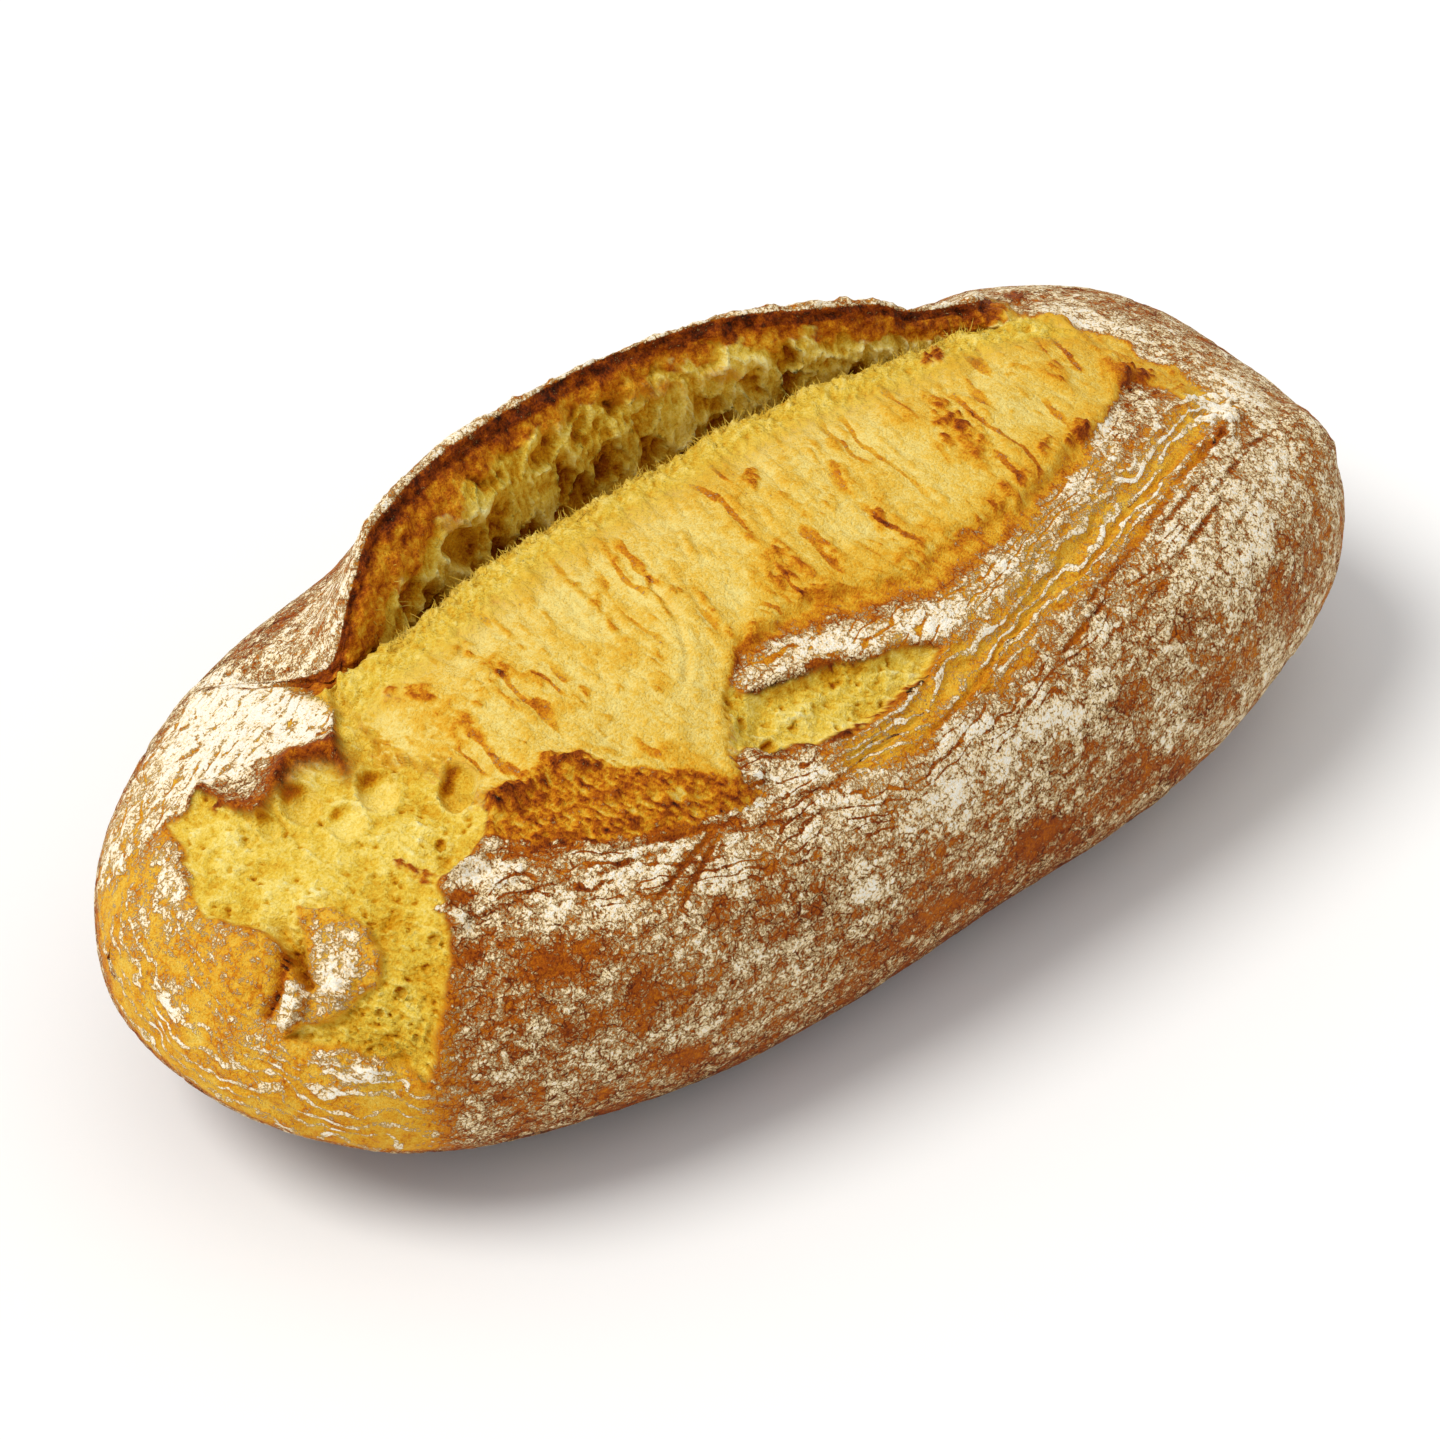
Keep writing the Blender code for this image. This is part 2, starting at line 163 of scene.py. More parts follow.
# Relief of those tears and lips: height, and width of the slope or ridge.
CROWN_RISE = (1.6, 3.0)
LEFT_TEAR_SINK = (-2.6, 1.8)
POCKET_SINK = (-3.2, 3.6)
ISLAND_RISE = (2.0, 2.2)
KNOB_BULGE = (2.4, 10)
KNOB_GROOVE = (-1.6, 1.6)
GAP_GROOVE = (-2.6, 2.4)
PETAL_RISE = (1.2, 1.6)
CREASE_RIDGE = (0.9, 6)
CREASE_GROOVE = (-0.9, 1.4)
CURL_RIDGE = (2.8, 5)
SHOULDER_RIDGE = (1.6, 5)
FLAP_RIDGE = (1.4, 5)
JAGGED_RIDGE = (1.8, 5)
STRETCH_GROOVE = (-1.4, 6)
NUB_RIDGE = (3, 7)
BACK_TEAR_GROOVE = (-1.6, 4)
LUMP_HEIGHT = 0.15
LUMP_WAVES = 18
LUMP_SEED = 1
LUMP_LENGTHS = (38, 95)
BASE_FADE = 14
POLE_FADE = 5

# Photo places of what the crust shows, in pixels: x, y, then length, width in millimetres,
# direction in degrees and strength.
CRAGS = [
    (935, 360, 5, 3.5, 20, 1.0), (940, 408, 4, 2.2, -30, 0.8), (957, 432, 8, 5, -35, 0.9),
    (975, 455, 7, 4, -50, 0.5), (753, 480, 4, 2.6, -80, 0.7), (790, 505, 9, 1.3, -40, 0.4),
    (848, 476, 7, 1.1, -70, 0.35), (880, 520, 6, 2.4, -85, 0.6), (650, 587, 3.2, 1.2, -80, 0.8),
    (662, 610, 7, 1.2, -55, 0.6), (600, 607, 4, 1.2, -75, 0.8), (612, 628, 6, 1.3, -60, 0.6),
    (595, 525, 6, 1.0, -60, 0.6), (612, 560, 8, 1.3, -45, 0.5), (575, 590, 9, 1.2, -42, 0.5),
    (510, 637, 7, 1.2, -45, 0.5), (463, 655, 3.4, 3, 0, 0.6), (503, 675, 5, 3.2, -15, 0.6),
    (535, 682, 6, 2.5, -10, 0.4), (425, 700, 7, 2.4, -15, 0.7), (395, 694, 4, 2, 40, 0.6),
    (455, 728, 8, 6, -40, 0.35), (780, 558, 4, 2.4, -30, 0.7), (782, 584, 5, 2.6, 20, 0.7),
    (700, 600, 6, 1.2, -55, 0.4), (1040, 345, 5, 3, -20, 0.3), (1135, 372, 7, 4.5, 20, 1.0),
    (1078, 432, 5, 3, 30, 0.9), (1045, 448, 3, 2, 60, 0.7), (820, 595, 12, 2.0, 5, 0.4),
    (900, 560, 10, 2.4, 35, 0.35), (1000, 500, 12, 2.4, 42, 0.35), (750, 640, 8, 2.4, 48, 0.6),
    (560, 764, 6, 2, -10, 1.0), (590, 768, 6, 2.2, 5, 0.9), (505, 804, 6, 3.4, -10, 1.0),
    (540, 795, 9, 3, -15, 0.7), (620, 790, 12, 2.4, 12, 0.4), (690, 778, 12, 2.4, -5, 0.4),
    (740, 790, 8, 3, 10, 0.4), (560, 832, 12, 2, 8, 0.6), (640, 818, 12, 2, 20, 0.5),
    (410, 860, 7, 1.8, -28, 0.8), (425, 868, 5, 3, -20, 0.6), (236, 806, 10, 1.6, 2, 0.6),
    (326, 731, 3.4, 1.8, 5, 0.9), (205, 786, 5, 1.4, -50, 0.5), (262, 724, 4, 1.2, -30, 0.5),
    (515, 800, 7, 4, -20, 1.0), (570, 764, 9, 3.4, 10, 0.9), (905, 690, 11, 1.5, 38, 0.8),
    (850, 727, 9, 1.5, 30, 0.9), (800, 742, 8, 1.3, 10, 0.6), (835, 658, 9, 1.2, 2, 0.6),
    (1015, 296, 5, 2, 10, 0.7), (1150, 307, 4, 2, -40, 0.7), (1222, 428, 5, 2, 60, 0.6),
    (1200, 440, 6, 2, 50, 0.5),
]
FLOUR_CLUMPS = [
    (470, 865, 8, 2.6, 12, 1.0), (505, 875, 7, 2.2, 25, 0.8), (443, 905, 3, 2.4, 0, 1.0),
    (460, 917, 3, 3, 0, 1.0), (300, 998, 5, 2.4, 70, 0.8), (342, 982, 8, 4, 60, 0.9),
    (758, 770, 3.4, 3, 0, 1.0), (1217, 402, 9, 6, -20, 1.0), (372, 1068, 7, 4, 20, 0.7),
    (335, 1058, 6, 1.6, -20, 0.8), (182, 862, 7, 2.4, 118, 0.7), (1232, 424, 5, 2, 60, 0.7),
]
FLOUR_PATCHES = [
    (672, 852, 18, 2, 52, 0.6), (708, 868, 14, 2, 64, 0.6), (765, 800, 20, 2.4, 17, 0.6),
    (650, 842, 20, 2, 9, 0.5), (950, 800, 20, 12, 30, 0.4), (1000, 760, 14, 9, 35, 0.25),
    (1150, 345, 12, 5, -30, 0.2), (480, 870, 16, 7, 14, 0.4), (330, 980, 8, 10, 60, 0.40),
    (172, 875, 13, 7, 115, 0.45), (150, 905, 7, 6, 90, 0.35), (370, 1066, 16, 9, 20, 0.5),
    (165, 1000, 9, 6, 40, 0.4), (235, 765, 12, 4, 20, 0.5), (305, 718, 8, 5, 90, 0.3),
    (620, 870, 18, 7, 10, 0.4), (610, 910, 12, 8, 20, 0.3), (800, 775, 12, 4, 15, 0.35),
    (850, 790, 18, 9, 20, 0.3), (735, 860, 12, 10, 40, 0.4), (1050, 715, 10, 9, 0, 0.4),
    (960, 730, 10, 6, 20, 0.3), (690, 950, 10, 8, 0, 0.3), (560, 900, 10, 6, 20, 0.3),
    (1100, 425, 4, 7, 20, 0.5), (950, 615, 16, 5, 25, 0.3), (820, 640, 16, 4, 5, 0.4),
    (1010, 555, 10, 6, 40, 0.3), (1075, 480, 6, 5, 70, 0.35), (1150, 450, 14, 4, 50, 0.3),
    (1090, 318, 18, 6, -25, 0.25), (1230, 380, 16, 7, -35, 0.3), (1250, 520, 14, 11, 60, 0.25),
    (620, 1040, 9, 5, 20, 0.25), (790, 985, 10, 6, 30, 0.3), (880, 870, 12, 8, 30, 0.25),
    (1280, 450, 12, 8, -70, 0.3), (1190, 490, 28, 18, 50, 0.2), (1320, 560, 18, 12, 75, 0.15),
]
# Patches where flour is taken away: partly bare crust, partly painted shade on the lower front.
BARE_AND_PAINTED_SHADE_PATCHES = [
    (1045, 838, 18, 7, 32, 0.5), (1130, 775, 14, 6, 40, 0.35), (975, 890, 14, 5, 28, 0.35),
    (1215, 690, 12, 5, 52, 0.3), (1300, 570, 18, 9, 72, 0.35), (555, 960, 10, 6, 0, 0.5),
    (640, 985, 8, 5, 60, 0.45), (600, 935, 9, 4, 20, 0.3), (720, 905, 8, 4, 70, 0.35),
    (575, 1030, 8, 3, 20, 0.3), (690, 1055, 7, 3, 20, 0.6), (770, 870, 5, 6, 90, 0.4),
    (1120, 700, 8, 6, 60, 0.3), (1170, 770, 9, 6, 40, 0.3), (1190, 620, 8, 6, 60, 0.3),
    (463, 893, 5, 3, 20, 0.9), (470, 950, 6, 5, 60, 0.35), (900, 930, 12, 4, 30, 0.3),
    (690, 828, 18, 2.6, 12, 0.6), (1290, 430, 7, 3, -60, 0.3), (520, 850, 12, 2.4, 10, 0.6),
    (700, 870, 3, 9, -55, 0.4), (820, 900, 10, 5, 40, 0.3), (650, 1010, 10, 4, 60, 0.3),
]
CREASES = [
    (690, 858, 22, 1.3, 50, 1.0), (703, 866, 18, 1.1, 62, 0.9), (660, 836, 26, 1.1, 14, 0.9),
    (640, 826, 30, 1.0, 4, 0.8), (790, 795, 30, 1.1, 18, 0.8), (790, 816, 24, 1.0, 12, 0.7),
    (728, 850, 12, 1.0, 100, 0.6), (622, 862, 22, 1.0, 20, 0.7), (880, 745, 28, 1.2, 38, 0.8),
    (960, 700, 26, 1.2, 45, 0.8), (1010, 640, 26, 1.1, 52, 0.7), (1120, 520, 30, 1.1, 55, 0.7),
    (1165, 470, 15, 1.2, 48, 0.9), (1197, 458, 16, 1.1, 45, 0.9), (1180, 503, 15, 1.2, 50, 0.8),
    (1222, 432, 12, 1.1, 38, 0.8), (1148, 522, 18, 1.2, 52, 0.8), (1228, 472, 13, 1.0, 50, 0.7),
    (1203, 522, 15, 1.1, 54, 0.7), (1118, 565, 20, 1.2, 50, 0.8), (1160, 585, 16, 1.1, 54, 0.7),
    (1240, 520, 12, 1.0, 60, 0.6), (1090, 618, 18, 1.1, 50, 0.7), (1255, 440, 10, 1.0, 30, 0.6),
    (300, 650, 8, 1.0, 55, 0.6), (345, 700, 6, 1.0, 70, 0.5), (500, 905, 12, 1.0, 22, 0.6),
    (540, 885, 16, 1.0, 18, 0.6),
]
STAINS = [
    (960, 440, 24, 12, -42, 0.5), (890, 500, 20, 8, -40, 0.4), (775, 570, 16, 9, -40, 0.5),
    (750, 510, 22, 9, -35, 0.3), (1060, 385, 16, 9, -25, 0.25), (1120, 370, 10, 8, 0, 0.5),
    (1020, 450, 14, 9, 30, 0.4), (620, 610, 12, 5, -45, 0.4), (510, 675, 12, 6, -25, 0.4),
    (455, 720, 16, 8, -38, 0.5), (400, 700, 8, 4, -10, 0.5), (860, 560, 16, 6, 15, 0.4),
    (600, 545, 14, 4, -45, 0.3), (560, 640, 12, 4, -40, 0.3), (700, 590, 10, 4, -50, 0.3),
    (640, 740, 20, 6, -25, 0.25), (560, 720, 14, 5, -30, 0.3), (935, 365, 8, 5, 10, 0.4),
]
PALE_CRUMB = [
    (290, 880, 14, 11, 60, 1.0), (235, 850, 10, 8, 60, 0.7), (350, 850, 14, 9, 0, 0.6),
    (415, 820, 9, 6, 0, 0.5),
]
BUBBLES = [
    (377, 780, 4.6, 2.6, 0.0), (458, 783, 4.4, 2.6, 0.25), (300, 795, 4.2, 2.2, 0.1),
    (268, 822, 2.2, 1.2, 0.1), (441, 836, 1.4, 1.2, 0.4), (775, 737, 1.9, 1.6, 0.35),
    (345, 812, 4.0, 0.9, 0.0), (745, 715, 1.4, 1.0, 0.3), (435, 935, 1.3, 0.9, 0.3),
    (402, 990, 1.4, 1.0, 0.3), (428, 965, 1.2, 0.8, 0.3), (380, 1012, 1.1, 0.8, 0.3),
    (420, 1040, 1.2, 0.8, 0.25), (245, 835, 1.2, 0.7, 0.2), (410, 925, 1.0, 0.6, 0.2),
    (800, 718, 1.1, 0.8, 0.3),
]
BIG_PORE = (465, 545)
BIG_PORE_SIZE = (4.2, 5.0)
WALL_FLAKES = [
    (640, 390, 14, 3.6, 6, 0.9), (560, 420, 8, 3, 30, 0.5), (720, 372, 8, 3, 8, 0.6),
    (450, 520, 6, 4, 50, 0.6),
]
CRUST_GRAIN = [
    (150, 800, 62), (250, 660, 50), (330, 590, 48), (110, 950, 95), (140, 1050, 125), (250, 1110, 150),
    (400, 1140, 172), (560, 1110, 192), (470, 960, 35), (500, 870, 22), (600, 870, 36), (690, 860, 48),
    (760, 820, 30), (860, 760, 28), (900, 780, 33), (1000, 700, 43), (1100, 600, 47), (1200, 450, 50),
    (1300, 500, 75), (1320, 600, 62), (1100, 800, 38), (800, 1000, 25), (1180, 360, -35), (1090, 320, -20),
    (1290, 400, -45), (1335, 470, -80), (880, 640, 12), (1000, 590, 35), (1060, 480, 70),
]
CROWN_GRAIN = [
    (430, 640, -28), (600, 600, -50), (700, 560, -52), (800, 520, -42), (950, 430, -38), (1050, 380, -22),
    (500, 760, -28), (640, 740, -25), (420, 720, -18), (820, 620, -10),
]

# Spacing of the fine ridges across each area, in millimetres, and directions of the marks, in degrees.
STRETCH_SPACING = 2.9
END_SPACING = 2.8
CROWN_SPACING = 4.5
CROWN_TURN = -42.0
BRISTLE_TURN = 75.0
STREAK_TURN = 15
CURVE_POINTS = 70

TABLE_2D = 256
TABLE_3D = 64
NOISE_SEED = 7
NOISE_GAIN = 1.7
ROUGH_GAIN = 1.3
OCTAVE_FADE = 0.55
SEED_STEP = 17.31
CELL_SEED_STEP = 9.7
random = np.random.default_rng(NOISE_SEED)


def unit_vectors(size, dimensions):
    vectors = random.normal(size=(size,) * dimensions + (dimensions,)).astype(np.float32)
    return vectors / np.linalg.norm(vectors, axis=-1, keepdims=True)


GRADIENTS = {2: unit_vectors(TABLE_2D, 2), 3: unit_vectors(TABLE_3D, 3)}
CELL_POINTS = random.random((TABLE_2D, TABLE_2D, 2)).astype(np.float32)
CELL_TAGS = random.random((TABLE_2D, TABLE_2D)).astype(np.float32)


def noise(at, size, seed):
    """Gradient noise from about -1 to 1, with features of about that size, in 2 or 3 dimensions."""
    dimensions = at.shape[1]
    table = GRADIENTS[dimensions]
    place = (at / size + seed * SEED_STEP).astype(np.float32)
    cell = np.floor(place).astype(np.int32)
    inside = place - cell
    fade = inside * inside * inside * (inside * (inside * 6 - 15) + 10)
    total = np.zeros(len(at), np.float32)
    for corner in itertools.product((0, 1), repeat=dimensions):
        index = tuple((cell[:, k] + corner[k]) % len(table) for k in range(dimensions))
        pull = table[index]
        weight = np.ones(len(at), np.float32)
        slope = np.zeros(len(at), np.float32)
        for k in range(dimensions):
            weight *= fade[:, k] if corner[k] else 1 - fade[:, k]
            slope += pull[:, k] * (inside[:, k] - corner[k])
        total += weight * slope
    return total * NOISE_GAIN


def rough(at, size, octaves, seed):
    """Noise summed over finer and finer sizes, from about -1 to 1."""
    strengths = [OCTAVE_FADE ** k for k in range(octaves)]
    total = sum(noise(at, size / 2 ** k, seed + k) * strengths[k] for k in range(octaves))
    return total / sum(strengths) * ROUGH_GAIN


def turned(at, degrees):
    """Runs of the points along a direction and across it."""
    turn = math.radians(degrees)
    return at @ np.array([math.cos(turn), math.sin(turn)]), at @ np.array([-math.sin(turn), math.cos(turn)])


def streaks(at, degrees, width, length, seed):
    """Noise drawn out along a direction, from about -1 to 1, mixed from patterns at fixed directions."""
    total = np.zeros(len(at), np.float32)
    power = np.full(len(at), 1e-6, np.float32)
    for k in range(180 // STREAK_TURN):
        off = np.abs((degrees - k * STREAK_TURN + 90) % 180 - 90)
        near = off < STREAK_TURN
        if not near.any():
            continue
        weight = 1 - off[near] / STREAK_TURN
        along, across = turned(at[near], k * STREAK_TURN)
        bend = 0.5 * width * noise(at[near], 6 * width, seed + 40 + k)
        pattern = noise(np.stack([along * width / length, across + bend], axis=1), width, seed + k)
        total[near] += weight * pattern
        power[near] += weight ** 2
    return total / np.sqrt(power)


def cells(at, size, seed):
    """Distance to the nearest and the second nearest of scattered points, and a value for the nearest."""
    place = (at / size + seed * CELL_SEED_STEP).astype(np.float32)
    cell = np.floor(place).astype(np.int32)
    nearest = np.full(len(at), 9, np.float32)
    second = nearest.copy()
    tag = np.zeros(len(at), np.float32)
    for step in itertools.product((-1, 0, 1), repeat=2):
        index = ((cell[:, 0] + step[0]) % TABLE_2D, (cell[:, 1] + step[1]) % TABLE_2D)
        away = cell + np.array(step, np.float32) + CELL_POINTS[index] - place
        distance = np.hypot(away[:, 0], away[:, 1])
        closer = distance < nearest
        second = np.where(closer, nearest, np.minimum(second, distance))
        tag = np.where(closer, CELL_TAGS[index], tag)
        nearest = np.where(closer, distance, nearest)
    return nearest, second, tag


def profile(at, knots):
    """Smooth curve through (place, value) knots, level before the first and after the last."""
    place, value = np.array(knots, dtype=float).T
    rate = np.diff(value) / np.diff(place)
    turns = rate[:-1] * rate[1:] <= 0
    slope = np.zeros(len(place))
    before = np.where(turns, 1, rate[:-1])
    after = np.where(turns, 1, rate[1:])
    slope[1:-1] = np.where(turns, 0, 2 * before * after / (before + after))
    at = np.clip(at, place[0], place[-1])
    span = np.clip(np.searchsorted(place, at) - 1, 0, len(place) - 2)
    step = place[span + 1] - place[span]
    share = (at - place[span]) / step
    rest = 1 - share
    start = (1 + 2 * share) * rest ** 2 * value[span] + share * rest ** 2 * step * slope[span]
    end = share * share * (3 - 2 * share) * value[span + 1] - share * share * rest * step * slope[span + 1]
    return start + end


def smooth_step(value, low, high):
    """0 below low, 1 above high, and a soft slope between them."""
    share = np.clip((value - low) / (high - low), 0, 1)
    return share * share * (3 - 2 * share)


def mix(a, b, share):
    return a + (b - a) * share


def round_off(share, power):
    """Superellipse: 1 in the middle, 0 where share is 1."""
    return np.clip(1 - np.abs(share) ** power, 0, 1) ** (1 / power)


def tapers(x):
    """Width and height of the plain form at x, as shares of the full ones."""
    share = x / (LENGTH / 2)
    left = x < 0
    return (np.where(left, round_off(share, PLAN_POWER[0]), round_off(share, PLAN_POWER[1])),
            np.where(left, round_off(share, HEIGHT_POWER[0]), round_off(share, HEIGHT_POWER[1])))


def plain_form(x, angle):
    """(y, z) of the plain loaf at x, at an angle round its section: 0 is +Y and 90 degrees the top."""
    wide, tall = tapers(x)
    back = np.cos(angle)
    up = np.sin(angle)
    power = np.where(up > 0, np.where(back > 0, profile(x, BACK_POWER), FRONT_POWER), LOWER_POWER)
    reach = (np.abs(back) ** power + np.abs(up) ** power) ** (-1 / power)
    rise = np.where(up > 0, BODY_HEIGHT - WAIST, WAIST + UNDERCUT) * tall
    return np.stack([WIDTH / 2 * wide * back * reach, np.maximum(WAIST + rise * up * reach, 0)], axis=-1)


def base_edge(x):
    """Angle below the waist at which the plain form meets the table, or nearly straight down."""
    tall = tapers(x)[1]
    drop = np.clip(WAIST / np.maximum((WAIST + UNDERCUT) * tall, 1e-9), 0, 0.995)
    return np.arctan2(drop, round_off(drop, LOWER_POWER))


def top_angle(x, y):
    """Angle of the plain form's upper back at depth y."""
    share = np.clip(y / np.maximum(WIDTH / 2 * tapers(x)[0], 1e-6), 0, 0.98)
    return np.arctan2(round_off(share, profile(x, BACK_POWER)), share)


def hug(points, x, share):
    """Points of the ear's outer crust lowered towards the plain form's upper back."""
    lowered = plain_form(x, top_angle(x, points[:, 0]))[:, 1]
    return np.stack([points[:, 0], points[:, 1] + (lowered - points[:, 1]) * share], axis=-1)


def section(x):
    """Control points of the section at each station, from the base over the back and the top."""
    edge = base_edge(x)
    crown_angle = top_angle(x, profile(x, CROWN_BACK))
    crown_back = plain_form(x, crown_angle)
    shoulder = plain_form(x, SHOULDER_ANGLE * np.ones_like(x))
    bulge = profile(x, EAR_BULGE)[:, None]
    rim_depth = profile(x, [(place, depth) for place, depth, _ in EAR_RIM])
    rim_height = profile(x, [(place, height) for place, _, height in EAR_RIM])
    rim = np.stack([rim_depth, rim_height], axis=-1)
    gap = profile(x, TEAR_DEPTH)[:, None]
    is_open = profile(x, EAR_OPEN)[:, None]
    across = np.array([1, 0])
    down = np.array([0, -1])

    def between(a, b, share, out=0.0):
        return mix(a, b, share) + np.array([1, 1]) * out * math.sin(math.pi * share) / math.sqrt(2)

    outer_rim = rim + across * CRUST + down * 0.3 * CRUST
    hugging = profile(x, EAR_HUG)
    ear = [
        hug(between(outer_rim, shoulder, 0.66, bulge), x, hugging),
        hug(between(outer_rim, shoulder, 0.33, bulge), x, hugging),
        outer_rim,
        rim + across * 0.25 * CRUST - down * 0.3 * CRUST,
        rim - across * 0.2 * CRUST + down * 0.25 * CRUST,
        between(crown_back, rim, 0.72) + across * 0.02 * gap,
        between(crown_back, rim, 0.4) + across * 0.12 * gap,
        crown_back + across * 0.42 * gap + down * 0.62 * gap,
        crown_back + across * 0.3 * gap + down * gap,
        crown_back + across * 0.1 * gap + down * 0.45 * gap,
    ]
    spread = np.linspace(0, 1, len(ear) + 2)[1:-1]
    shut = [plain_form(x, mix(SHOULDER_ANGLE, crown_angle, share)) for share in spread]
    ear = [mix(*pair, is_open) for pair in zip(shut, ear)]
    back = [plain_form(x, -edge * share) for share in (1.0, 0.66, 0.33)]
    back += [plain_form(x, SHOULDER_ANGLE * share * np.ones_like(x)) for share in (0, 0.5)]
    front_spread = np.linspace(0, 1, 12)[1:]
    crown = [plain_form(x, mix(crown_angle, math.pi, share)) for share in front_spread]
    front = [plain_form(x, math.pi + edge * share) for share in (0.33, 0.66, 1.0)]
    middle = np.stack([np.zeros_like(x), np.minimum(back[0][:, 1], front[-1][:, 1])], axis=-1)
    ring = np.stack([middle, between(middle, back[0], 0.55), *back, shoulder, *ear, crown_back, *crown,
                     *front, between(middle, front[-1], 0.55)])
    sharpen = (2 * ring - np.roll(ring, 1, axis=0) - np.roll(ring, -1, axis=0)) / 6
    return ring + sharpen


def spline_ring(control, rows):
    """Closed uniform cubic spline over the first axis of the control points, read at each row."""
    span = np.floor(rows).astype(int)
    share = (rows - span)[:, None, None]
    weights = [(1 - share) ** 3 / 6, (3 * share ** 3 - 6 * share ** 2 + 4) / 6,
               (-3 * share ** 3 + 3 * share ** 2 + 3 * share + 1) / 6, share ** 3 / 6]
    return sum(weight * control[(span + k - 1) % len(control)] for k, weight in enumerate(weights))


def stations(count):
    """Places along the loaf, evenly spaced along its outline, so that they crowd at the round ends."""
    turn = np.linspace(-math.pi / 2, math.pi / 2, OUTLINE_SAMPLES)
    x = LENGTH / 2 * np.sin(turn)
    run = np.hypot(np.gradient(x), np.gradient(WIDTH / 2 * tapers(x)[0]))
    run = np.cumsum(run) - run[0]
    return np.interp(np.linspace(0, run[-1], count), run, x)[1:-1]


def row_places(control):
    """Row places round the section: each span between controls is divided by its length."""
    ring = spline_ring(control[:, control.shape[1] // 4::40], np.linspace(0, CONTROLS, CONTROLS * 8 + 1))
    lengths = np.linalg.norm(np.diff(ring, axis=0), axis=2).mean(axis=1).reshape(CONTROLS, 8).sum(axis=1)
    rows = []
    for k, length in enumerate(lengths):
        step = [size for first, size in ROW_STEPS if first <= k][-1]
        count = max(1, round(length / step))
        rows.append(k + np.arange(count) / count)
    return np.concatenate(rows)


def toward_viewer():
    """Direction from the loaf to the viewer of the drawing plane."""
    flat = math.cos(SKETCH_TILT)
    return np.array([math.sin(SKETCH_TURN) * flat, -math.cos(SKETCH_TURN) * flat, math.sin(SKETCH_TILT)])


def to_sketch(points):
    """Places of the points in the drawing plane, and the direction to its viewer."""
    back = toward_viewer()
    right = np.array([math.cos(SKETCH_TURN), math.sin(SKETCH_TURN), 0])
    up = np.cross(back, right)
    away = points - (SKETCH_CENTRE + back * SKETCH_DISTANCE)
    scale = SKETCH_DISTANCE / -(away @ back)
    toward = -away / np.linalg.norm(away, axis=1, keepdims=True)
    return np.stack([away @ right * scale, away @ up * scale], axis=1), toward


def photo_place(px, py):
    """Place in the drawing plane of a pixel of the photo."""
    return np.array([(px - PHOTO_SIZE / 2) / PHOTO_PX_PER_MM, (PHOTO_SIZE / 2 - py) / PHOTO_PX_PER_MM])


def line_distance(at, line, closed=False):
    """Distance of each sketch point from a line of straight runs."""
    line = np.array(line, dtype=float)
    ends = np.roll(line, -1, axis=0) if closed else line[1:]
    best = np.full(len(at), np.inf)
    for start, end in zip(line, ends):
        run = end - start
        share = np.clip((at - start) @ run / (run @ run), 0, 1)
        best = np.minimum(best, np.linalg.norm(at - start - share[:, None] * run, axis=1))
    return best


def along_across(at, line):
    """Run along a smooth line through points, and distance to its left, of each sketch point."""
    knots = np.arange(len(line))
    places = np.linspace(0, len(line) - 1, CURVE_POINTS)
    curve = np.stack([profile(places, list(zip(knots, values))) for values in zip(*line)], axis=1)
    nearest = np.full(len(at), np.inf)
    along = np.zeros(len(at))
    across = np.zeros(len(at))
    run = 0.0
    for start, end in zip(curve, curve[1:]):
        length = np.linalg.norm(end - start)
        way = (end - start) / length
        reached = np.clip((at - start) @ way, 0, length)
        away = at - start - reached[:, None] * way
        distance = np.hypot(away[:, 0], away[:, 1])
        side = np.sign(way[0] * away[:, 1] - way[1] * away[:, 0])
        closer = distance < nearest
        nearest = np.where(closer, distance, nearest)
        along = np.where(closer, run + reached, along)
        across = np.where(closer, distance * side, across)
        run += length
    return along, across


def wave_count(flow, spacing, seed):
    """Count of ridges across a flow, bent by noise, so that each whole number lies on a wavy line."""
    along, across = flow
    slow = noise(np.stack([along / 3, across], axis=1), 7, seed)
    quick = noise(np.stack([along / 2, across], axis=1), 2.5, seed + 3)
    return (across + 2.8 * slow + 0.9 * quick) / spacing


def thin_lines(distance, width):
    """1 where a distance is 0, with a soft edge."""
    return np.exp(-(distance / width) ** 2)


def depth_inside(at, outline):
    """Distance of each sketch point inside a closed outline, below 0 outside it."""
    outline = np.array(outline, dtype=float)
    inside = np.zeros(len(at), dtype=bool)
    for start, end in zip(outline, np.roll(outline, -1, axis=0)):
        rise = end[1] - start[1]
        if rise == 0:
            continue
        crosses = (start[1] > at[:, 1]) != (end[1] > at[:, 1])
        inside ^= crosses & (at[:, 0] < start[0] + (at[:, 1] - start[1]) * (end[0] - start[0]) / rise)
    distance = line_distance(at, outline, closed=True)
    return np.where(inside, distance, -distance)


def step_up(depth, size):
    """Relief that is raised or sunk inside an outline, with a soft slope along its edge."""
    height, slope = size
    return height * smooth_step(depth, -0.5 * slope, 0.5 * slope)


def ridge(at, line, size):
    """Relief along a line: a soft ridge, or a groove where its height is below 0."""
    height, half_width = size
    return height * thin_lines(line_distance(at, line), half_width / 1.5)


